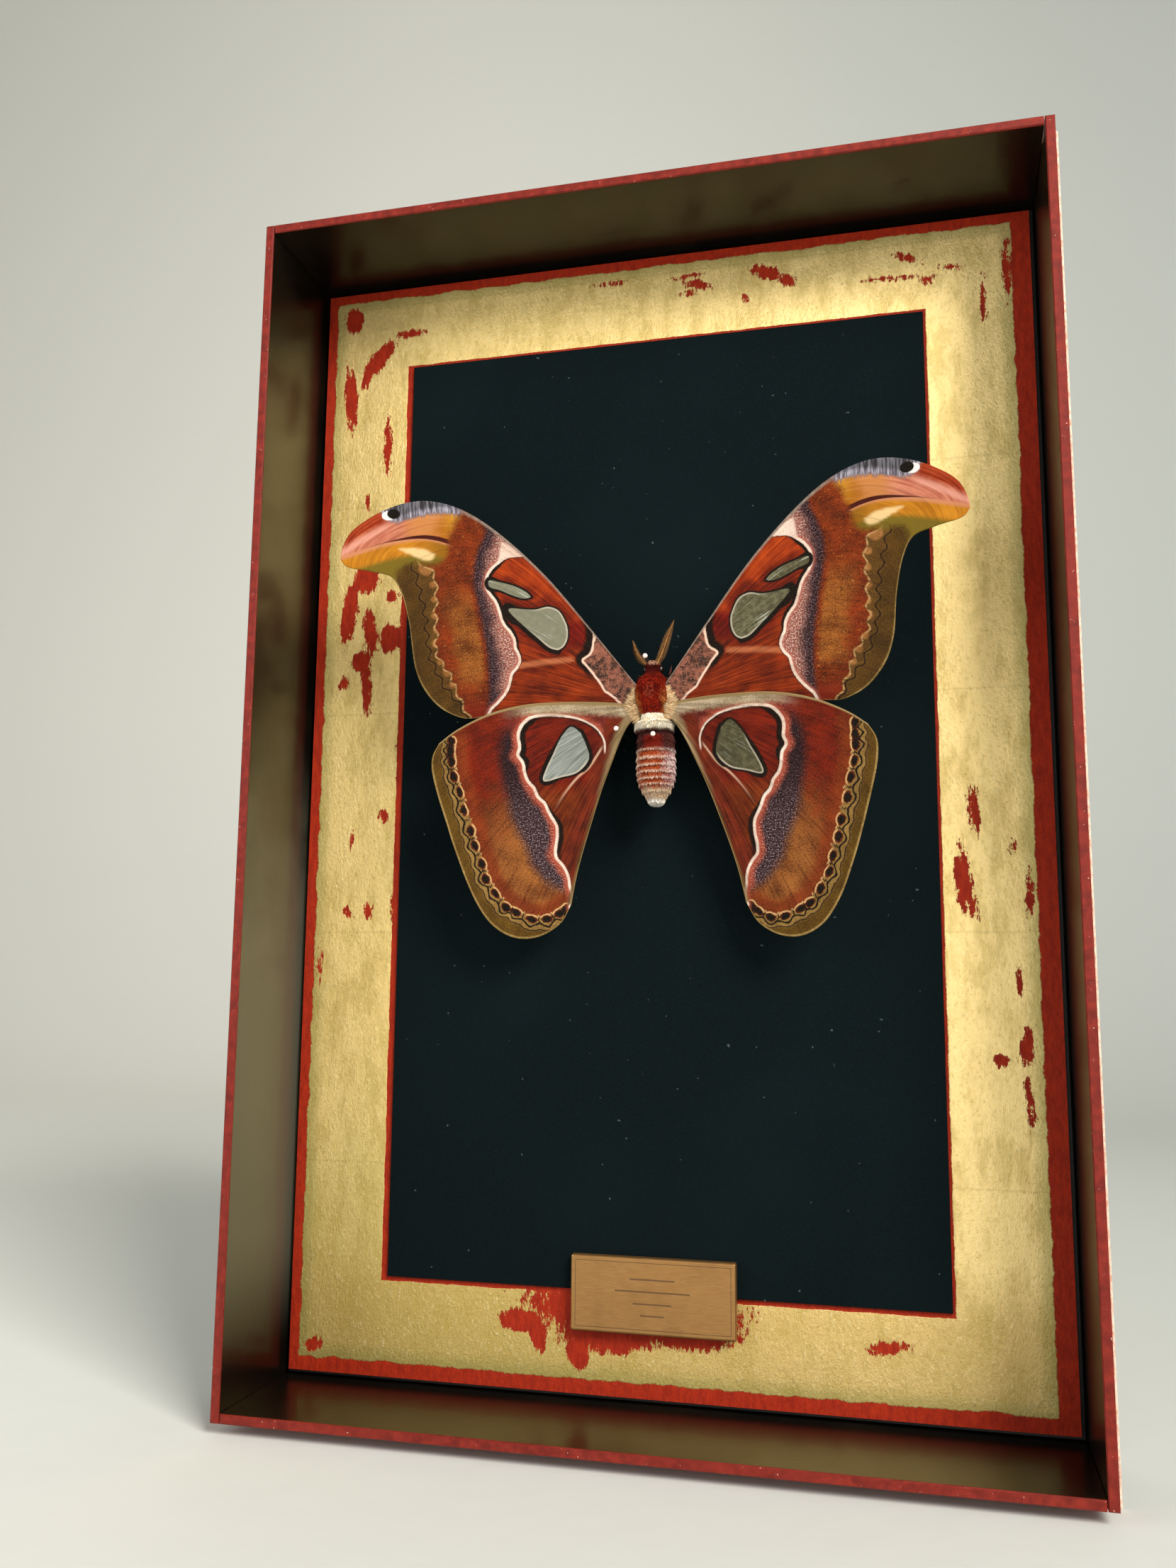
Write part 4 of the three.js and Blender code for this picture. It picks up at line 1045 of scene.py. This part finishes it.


# The forewing: a maroon root, a warm red middle with two clear windows, a white line with a flag,
# a speckled belt, an ochre field, a tan margin with a wavy line, and the tip that is drawn like
# a snake's head. Distances to the listed lines of the pattern, in millimetres, carry it.
fore_lines = {
    'am': (
        (19.5, 24), (18.8, 20.5), (19.3, 16.5), (20.2, 13.5), (23, 11.2), (21, 8.5), (18.5, 5), (16.8, 2.5),
        (15.6, 0.5), (13.5, -1), (11, -3.4), (9, -6)),
    'pm': (
        (38, 47.8), (43, 47.3), (47, 47), (50, 45.4), (53, 42.8), (54.5, 40), (54.7, 37), (53.6, 34.5),
        (51.8, 32), (50.6, 29), (49.8, 26), (48.8, 23.7), (46.8, 21.2), (45.6, 18.5), (45.3, 16),
        (44.2, 13.5), (43.9, 11.5), (45, 9.2), (46.7, 7.2), (47.2, 5), (48, 2.5), (49.5, 0), (51.5, -2.3),
        (54, -4.8), (56, -9)),
    'band': (
        (54.5, 60), (54.5, 56), (57, 50), (58.5, 45), (59, 40), (58.5, 35), (57.5, 30), (56.5, 25),
        (55.8, 20), (55, 15), (54.6, 10), (54.5, 5), (54.6, 0), (55, -3), (56, -9)),
    'tan': (
        (78, 47), (75, 44.8), (72, 42), (71, 36), (71.5, 30), (71.3, 22), (71.5, 15), (69.5, 11), (67, 7),
        (65.5, 3), (63, -3), (60, -9)),
    'wavy': (
        (81, 47), (79.5, 44.5), (78, 40), (77, 35), (76, 30), (75.3, 25), (75, 20), (74.5, 15), (72.8, 10),
        (71, 6), (69, 2.5), (66.8, 0), (64, -4), (62, -9)),
    'throat': (
        (60, 68), (60, 66), (62.5, 62), (65.5, 58), (67, 53), (68.2, 48.5), (70.5, 45.6), (74, 44.6),
        (79, 45.2), (82, 44.6), (84.5, 42.6), (86, 38)),
    'lip': (
        (64, 51.4), (68, 52.8), (71, 53.7), (75, 54.3), (79, 54.2), (83, 53.6), (88, 52.6), (93, 51.2),
        (99, 49.4), (105, 47.5)),
    'lilac': (
        (56, 58.5), (59, 60.5), (62, 61.3), (68, 62.1), (74, 61.8), (80, 60.3), (84, 59.3), (88, 60.4),
        (90, 63.5), (90.5, 68)),
    'streak': ((27, 10.9), (34, 10.4), (40, 9.8), (46.5, 9)),
    'flush': ((88, 59), (95, 55.2), (104, 49.6)),
}
fore_loops = {
    'flag': (
        (42, 47.2), (44.5, 50.2), (47.5, 53.2), (52, 56), (51, 52), (49.8, 48.5), (50.2, 45.6), (47, 46.9)),
    'window': (
        (31, 14.8), (33.6, 15.6), (37.6, 19), (41.8, 22.8), (46.6, 27.6), (47.4, 29), (46.8, 29.4),
        (42, 29), (38, 28.8), (34, 29.6), (30.6, 28.3), (28.8, 25.5), (27.6, 22), (27.8, 18.5),
        (29.2, 15.8)),
    'wedge': ((71.5, 48.2), (75, 50), (80, 50.6), (84, 50.4), (80, 48.4), (76.5, 46.6), (73, 46.4)),
    'slit': (
        (39.7, 33), (41, 34.6), (45, 36.8), (50, 38.3), (53.6, 39), (54, 38), (53.5, 36.8), (50, 35.6),
        (46, 33.8), (42, 32.6)),
}
fore_blobs = (
    # Centre and radius
    (75, 43.5, 2.5), (72.6, 38, 1.3), (72.3, 33, 1.2), (72, 27.5, 1.5), (71.8, 22.5, 1.2), (72, 18, 1.5),
    (70.6, 12, 1.4), (68.6, 8, 1.4), (66.6, 4, 1.3), (64.6, 0, 1.1))
scallop_long = 5.2

fields = wing_fields(fore_outline)
plan = fields[2]
marks = pattern(plan, fore_lines, fore_loops)
marks['wavy_along'] = reach_of(plan, smooth_run(fore_lines['wavy'], pattern_steps))[1]
marks['blob'] = np.min([np.hypot(*(plan - (x, z)).T) - radius for x, z, radius in fore_blobs], 0)

fore, x, z, (from_lead, _, from_margin), crest, noises, mealy, streaky = wing_ground('wing_fore')
cloud, patch, speck, streak, dust, wobble = noises
am, pm, band, tan, wavy, lip, lilac, flush, window, slit = (fore.kept(name) for name in (
    'am', 'pm', 'band', 'tan', 'wavy', 'lip', 'lilac', 'flush', 'window', 'slit'))
am, pm, band = am + wobble * 0.6, pm + wobble * 0.3, band + wobble * 1.4 + speck.sway(2.4)

# The outer field is rust, with ochre in its middle where it meets the belt
light_patch = patch * 0.6 + speck * 0.5
ochre_here = band.step(0.4, 2.6) * (band + cloud * 9 - 4.5).step(13.5, 7.5) * z.step(1, 8)
colour = layered(mealy.mix('#4c1a06', '#964214'),
    (ochre_here * z.step(40, 26), mealy.mix('#5c2c0e', '#ab6e32')),
    (light_patch.step(0.62, 0.78) * 0.5, '#cf9a58'),
    (light_patch.step(0.5, 0.4) * 0.5, '#3a1606'),
    ((z + cloud * 4).step(2, -4) * 0.8, '#7a2210'))

# The tan margin begins in scallops, with a pale lump in each, and holds the wavy line
scallop = (fore.kept('wavy_along') * (math.tau / scallop_long)).wave()
tan = tan + scallop * 0.6 + wobble * 0.5
blob = fore.kept('blob') + wobble * 0.7
margin = layered(mealy.mix('#4a3210', '#755628'),
    (blob.step(0.4, -0.6), mealy.mix('#7c5026', '#b08250')),
    (abs(tan - 0.5).step(0.55, 0.1) * streak.step(0.3, 0.6), '#b89468'))
ripple = wavy + scallop * 0.75 + wobble * 0.4
colour = layered(colour,
    (tan.step(-0.3, 0.5), margin),
    (ripple.step(0.2, 1.2) * tan.step(0, 1), mealy.mix('#3f2b0e', '#664a1a')),
    (abs(ripple).step(0.42, 0.16) * tan.step(0, 1) * 0.9, '#1e1006'),
    (from_margin.step(1, 0.4), mealy.mix('#6a5428', '#a08a5c')))

# The belt outside the white line is dusted with pale scales over pink, then over dark purple
deep_belt = (band + cloud.sway(5)).step(-6.4, -1.4)
speckled = layered(deep_belt.mix('#9a6254', '#2e161c'),
    (speck.step(0.5, 0.62) * 0.85, deep_belt.mix('#d8c4bc', '#7c6872')),
    (speck.step(0.46, 0.38) * 0.8, deep_belt.mix('#5c2c26', '#170a0e')))
colour = layered(colour,
    (band.step(1.2, -1.2), speckled),
    (pm.step(1.8, 0.4) * 0.65, '#b4685a'))


# The middle is red between dark and orange, streaked along the wing
def around(centre_x, centre_z, wide, high):
    """The square of the distance from a place, stretched."""
    from_x, from_z = x - centre_x, z - centre_z
    return from_x * from_x / wide + from_z * from_z / high


high = (z + cloud.sway(6) - (x - 40) * 0.5).step(24, 32)
near_panes = window.least(slit + 1.2)
crimson = around(24, 20, 1, 1).step(34, 6)
black_wide = z.step(9, 24) * z.step(47, 43) * 0.9 + 0.15
middle = layered(streaky.mix('#541404', '#9c3e10'),
    (streak.step(0.6, 0.74) * 0.5, '#b06440'),
    (high, streaky.mix('#7c2409', '#bb5218')),
    ((near_panes + cloud.sway(3)).step(5, 1.6) * 0.85, streaky.mix('#4c0e05', '#7c200b')),
    (crimson * 0.9, streaky.mix('#4e0504', '#860f08')),
    (abs(fore.kept('streak') - 0.6).step(1.6, 0.3) * streak.step(0.2, 0.5) * 0.8, '#b87450'),
    ((pm + 0.45 + black_wide).step(-0.4, 0.25), '#100403'),
    ((am - 1.6 - z.step(8, 16) * 0.9 + wobble).step(0.9, -0.4) * z.step(2, 8), '#160403'))
flag = (fore.kept('flag') + wobble + speck.sway(2.4) + z.step(48, 55) * 3.2).step(0.6, -0.4)
white_line = (abs(pm) + speck.sway(0.5)).step(0.66, 0.3)
base = layered((patch * 0.6 + cloud * 0.5).step(0.44, 0.66).mix('#382820', '#94604e'),
    (speck.step(0.5, 0.65) * 0.7, '#b08478'))
am_wide = z.step(17, 23) * 1.1 + 0.3
colour = layered(colour,
    (pm.step(0.6, 0.35), middle),
    (white_line.most(flag), mealy.mix('#c8a898', '#eadacb')),
    (am.step(0.3, -0.3), base),
    ((abs(am + am_wide * 0.6) - am_wide).step(0.3, -0.15), '#dfc2b0'))

# The tip: a yellow jaw and throat, a peach cheek, a red beak, a dark mouth and a black eye
throat = fore.kept('throat') + speck.sway(3) + cloud.sway(4)
beak = streaky.mix('#86260c', '#b85a30')
cheek = (x + cloud * 6).step(79, 88)
jaw = layered(x.step(68, 80).mix('#94681a', streaky.mix('#aa7018', '#ca8e2c')),
    ((lip + 1).step(-0.9, 0.4), '#c48a66'),
    ((lip + 5.8).step(1.2, -1.2), '#7c6a24'))
wedge = fore.kept('wedge') + streak.sway(1.6)
ray = fore.kept('plan', 'Vector').scaled(1.3, 0.16, 0).mottle(1, 2)
brow = ray.step(0.4, 0.62).mix('#66606a', '#aeaab4')
mouth_wide = x.step(90, 70) * 0.62 + 0.1
mouth = (abs(lip) - mouth_wide).step(0.18, -0.12) * x.step(64.5, 67.5) * x.step(97, 84)
skull = layered((throat + patch.sway(3)).step(1, 8).mix('#a86c18', '#bf8450'),
    ((z + cloud * 4).step(55, 60.5) * x.step(70, 64), '#c08e30'),
    (streak.step(0.5, 0.7) * 0.4, '#dca878'),
    (cheek, streaky.mix('#a8604c', '#cf9078')),
    ((flush + wobble + 0.3).step(0.2, 1.8) * (x + cloud * 3).step(88, 91), beak),
    (abs(flush + 1).step(1.4, 0.2) * x.step(85, 90) * 0.6, '#dca898'),
    (lip.step(0.35, -0.35), jaw),
    (wedge.step(0.7, -0.7) * 0.85, '#e4c898'),
    ((lilac + wobble + ray.sway(5)).step(-1, 0.8), '#8c7470'),
    ((lilac + wobble).step(-0.2, 0.9), brow),
    ((lilac - 2.3 + wobble).step(-0.9, 0.7), ray.step(0.35, 0.65).mix('#38373c', '#77757c')),
    (mouth, '#4c1510'),
    ((around(87.2, 61.7, 4.2, 2.4) + wobble * 0.3).step(1.15, 0.8), '#e6dedb'),
    (around(85.3, 62.3, 4.6, 2.7).step(1.15, 0.85), '#050404'))
colour = layered(colour,
    (throat.step(-1.6, 1.6), skull),
    (from_lead.step(1.9, 0.9) * x.step(66, 58) * 0.9, patch.mix('#5c4c44', '#b4a498')))

# The two panes are clear membrane, edged in black and on the near side in cream
edge_black = (window - 0.5 - (x - z).step(14, 17.5) * 0.9 - x.step(44, 47) * 0.8).step(0.4, -0.2)
edge_black = edge_black.most((slit - 0.6 - x.step(50, 53) * 0.6).step(0.35, -0.15))
pane = window.step(0.15, -0.15).most(slit.step(0.15, -0.15))
haze, glint, lit = membrane(fore, streak, patch, cloud)
glass = layered(haze.mix('#5e5a44', '#807c62'),
    (lit * 0.65, '#9a9a88'),
    (glint * 0.8, '#c6cac2'),
    (window.step(-0.75, -0.2) * x.step(42, 34) * 0.7, '#d8cdbb'))
colour = layered(colour,
    (edge_black, '#0d0403'),
    (pane, glass))
close_finish(fore, colour, 1.22, pane, crest, streak, dust)
add_wings('fore', fields, marks, fore)

# The hindwing: a red middle with one clear window inside a white line, a speckled belt, a red and
# ochre field, and a row of black spots with two wavy lines along its tan margin.
hind_lines = {
    'pm': (
        (16.2, -20), (16.2, -16), (18, -12.5), (21, -10.2), (25, -8.6), (30, -7.8), (35, -7.6), (40, -8.5),
        (43, -11), (44.3, -14), (44, -18), (44.8, -20.5), (43.3, -23), (42.8, -26.5), (42, -29),
        (40, -31.5), (39, -34.2), (36.8, -36.5), (35.8, -39), (34.8, -41), (33.3, -44), (33.3, -48),
        (34, -52), (33.8, -54.5), (31.8, -57), (30.2, -60.5), (29.8, -64), (29.2, -67), (30, -71)),
    'cream': ((16.4, -16.5), (17, -18), (19, -21), (22, -25), (25.5, -27.8), (30, -33), (34, -39)),
    'band': (
        (47, -2), (48, -8), (50, -15), (51, -25), (49, -35), (47.5, -42), (44, -50), (42, -56), (38.5, -61),
        (36, -63.5), (33, -65), (28, -68)),
}
hind_loops = {
    'window': (
        (23.6, -13.5), (26.5, -11.4), (30, -14.5), (33, -20), (35.5, -24.5), (37, -28.5), (36.5, -29.2),
        (31, -27.8), (26, -26.5), (22.5, -23.5), (21.4, -21), (22.3, -17)),
}
hind_spots = (
    (66.5, -15.5), (66.8, -19), (66.8, -22.5), (66.3, -27.5), (64.8, -32.5), (63.5, -38.5), (61.5, -45.5),
    (60.3, -50.5), (58.3, -56.5), (57, -61.5), (54, -66.5), (50.5, -71), (47.5, -72.7), (42.5, -75),
    (37.5, -75), (33.5, -73), (31, -71))
fields = wing_fields(hind_outline)
plan = fields[2]
marks = pattern(plan, hind_lines, hind_loops)
spot_run = smooth_run(hind_spots, pattern_steps)
marks['row'], along = reach_of(plan, spot_run)
spot_lengths = lengths_along(spot_run)[::pattern_steps]
marks['beat'] = np.interp(along, spot_lengths, np.arange(len(hind_spots)))
marks['link'] = along - spot_lengths[np.rint(marks['beat']).astype(int)]

hind, x, z, (from_lead, from_inner, from_margin), crest, noises, mealy, streaky = wing_ground('wing_hind')
cloud, patch, speck, streak, dust, wobble = noises
pm, band, row, link, window = (hind.kept(name) for name in ('pm', 'band', 'row', 'link', 'window'))
pm, band = pm + wobble * 0.35, band + wobble * 1.6 + speck.sway(2.4)

# The outer field is red at the top and ochre at the foot, and rust again next to the spots
ochre_here = (z + cloud.sway(22) + band * 0.8).step(-24, -48)
colour = layered(mealy.mix('#470c03', '#8a280b'),
    (ochre_here, mealy.mix('#5a2c14', '#a86e38')),
    (streak.step(0.42, 0.3) * 0.5, '#3a0f04'),
    ((row + wobble + speck.sway(3)).step(-7, -3.6) * 0.9, mealy.mix('#5e2209', '#92441c')))

# The tan margin, with its two wavy lines and the row of black spots in cream loops
wave = (hind.kept('beat') * math.tau + math.pi / 2).wave()
row = row + wobble * 0.9 + cloud.sway(1.6)
line_one = row - 1.7 - wave * 0.6
line_two = row - 3.3 - wave * 0.3
margin = layered(mealy.mix('#6e542c', '#a2834c'),
    (line_two.step(-0.2, 0.7), mealy.mix('#47310c', '#70541a')))
spot = ((row * row) / 0.9 + (link * link) / 2.1 + wobble * 2.2 + speck.sway(2.2))
colour = layered(colour,
    ((row - wave * 0.9).step(-0.9, 0.3), margin),
    (spot.step(3.9, 2.9) * (row + abs(link) * 0.4 + wobble).step(0.6, -0.4), '#c8a474'),
    (spot.step(2.1, 1.5), mealy.mix('#4a1a0c', '#6e2c14')),
    (spot.step(1.3, 0.8), '#0a0403'),
    (abs(line_one).step(0.46, 0.16), '#0e0604'),
    (abs(line_two).step(0.36, 0.1) * 0.9, '#2a1608'),
    (from_margin.step(0.9, 0.4), mealy.mix('#78602e', '#ae9464')))

# The belt outside the white line: pink, then dark purple dusted with lilac
deep_belt = (pm + cloud.sway(3)).step(1.2, 3.4)
lower = (z + cloud.sway(10)).step(-24, -46)
red_top = (z + cloud.sway(6)).step(-15, -9) * 0.7
speckled = layered(deep_belt.mix('#9c4a38', lower.mix('#260e15', '#3c2429')),
    (speck.step(0.5, 0.66) * (0.6 + lower * 0.25),
     deep_belt.mix('#cf9e8e', lower.mix('#6c5663', '#a0929a'))),
    (speck.step(0.46, 0.38) * 0.8, deep_belt.mix('#5c1c12', '#14070b')),
    (red_top, mealy.mix('#5a1a10', '#93392c')))
colour = layered(colour,
    (band.step(2.6, -2.2), speckled),
    (pm.step(1.9, 0.5) * 0.6, '#b4604c'))

# The middle: dark red inside the white line, streaked with orange towards the foot
right_black = x.step(36, 40) * z.step(-27, -22) * 1.5
right_black += z.step(-35, -44) * z.step(-62, -50) * 1.3
middle = layered(streaky.mix('#541602', '#8c4418'),
    (streak.step(0.6, 0.75) * 0.4, '#a86840'),
    ((z + cloud.sway(8)).step(-36, -28), streaky.mix('#4a0603', '#86250c')),
    ((pm + 0.7 + right_black + wobble * 0.6).step(-0.4, 0.3), '#120302'))
root = streaky.mix('#3c0a04', '#86341a')
root_here = (x + (z + 18) * 0.4 + wobble).step(19.5, 17) * pm.step(0.3, 0).most(x.step(21, 18))
thread = (abs(hind.kept('cream')) - 0.14).step(0.4, 0) * z.step(-40, -28) * z.step(-17, -19.5)
line_wide = x.step(17, 38) * 0.22 + 0.14
line_here = (abs(pm) - line_wide + speck.sway(0.4)).step(0.36, -0.06)
line_here = line_here * z.step(-21, -18.5).most(x.step(22, 28))
edge_black = (window - 0.55 - x.step(31, 35) * 0.7 - x.step(25, 23) * 0.6).step(0.4, -0.2)
pane = window.step(0.15, -0.15)
haze, glint, lit = membrane(hind, streak, patch, cloud)
glass = layered(haze.mix('#54503a', '#706c54'),
    (lit * 0.75, streak.step(0.35, 0.6).mix('#8a908c', '#b4bab6')),
    (glint * (lit * 0.6 + 0.25), '#d6dcdc'),
    (window.step(-0.7, -0.2) * (x * 0.5 - z).step(31, 36) * 0.7, '#d8cdbb'))
coast = mealy.mix('#86745a', '#c6b69c')
coast_here = (from_lead + patch.sway(1.6)).step(3.5, 1.9) * x.step(52, 36)
inner_hem = z.step(-45, -12).mix(streaky.mix('#503a1c', '#866844'), streaky.mix('#7c6a48', '#bfae8a'))
hem_here = (from_inner + cloud.sway(3)).step(4.4, 2) * row.step(0, -2)
colour = layered(colour,
    (pm.step(0.5, 0.2), middle),
    (root_here, root),
    (thread * 0.75, '#d8b49a'),
    (line_here, mealy.mix('#cdb0a0', '#eee0d2')),
    (edge_black, '#0d0403'),
    (pane, glass),
    (coast_here, coast),
    (from_lead.step(0.9, 0.5), '#9a845e'),
    (hem_here * 0.85, inner_hem),
    (from_inner.step(0.9, 0.5), '#8c7850'))
close_finish(hind, colour, 1.18, pane, crest, streak, dust)
add_wings('hind', fields, marks, hind)

# Long pale hair grows from the wing roots and lies out over the bases of the wings, in the same
# fine tufts as the fur of the body.
hair_coat = Finish('root_hair', Roughness=0.8, Specular_IOR_Level=0.2)
shade = hair_coat.kept('shade')
tip = hair_coat.kept('root', 'Vector').apart()[1]
lock = shade.mix('#b06c34', '#f7e2b4')
# Painted shade: each lock is painted darker towards its root, where the hairs shade each other.
hair_coat.feed('Base Color', (tip.step(0.6, 0) * 0.45).mix(lock, '#5a2412'))
hair_coat.relief(hair_coat.place().mottle(3), 0.0001, 0.3)
hair_count = 1100
hair_top, hair_middle, hair_foot = 0.5, -4.6, -9.5
for side, sign in sides:
    rng = np.random.default_rng(51)
    z = rng.uniform(hair_foot, hair_top, hair_count)
    x = 3.6 + rng.random(hair_count) * (4.6 - 0.62 * abs(z - hair_middle))
    lift = np.where(z < hair_middle, wing_lift(hind_outline, x, z), wing_lift(fore_outline, x, z)) + 0.1
    still = np.zeros_like(x)
    turn = rng.normal(0, 0.16, hair_count) + (z + 4.2) * 0.13
    lie = headings(sign * np.cos(turn), still + 0.12, np.sin(turn))
    marks = {'across': x, 'up': z, 'shade': rng.random(hair_count) ** 0.8, 'ring': still}
    patches = np.stack([x / 10, (z + 12) / 15], -1)
    length = rng.uniform(1.2, 2.6, hair_count) * MM
    stand = rng.uniform(0.06, 0.3, hair_count)
    hair = tufts(f'root_hair_{side}', set_out(sign * x, lift, z), headings(still, still + 1, still), lie,
                 length, 0.16 * MM, stand, patches, marks)
    add_piece(f'root_hair_{side}', hair, hair_coat, 'red_fur')
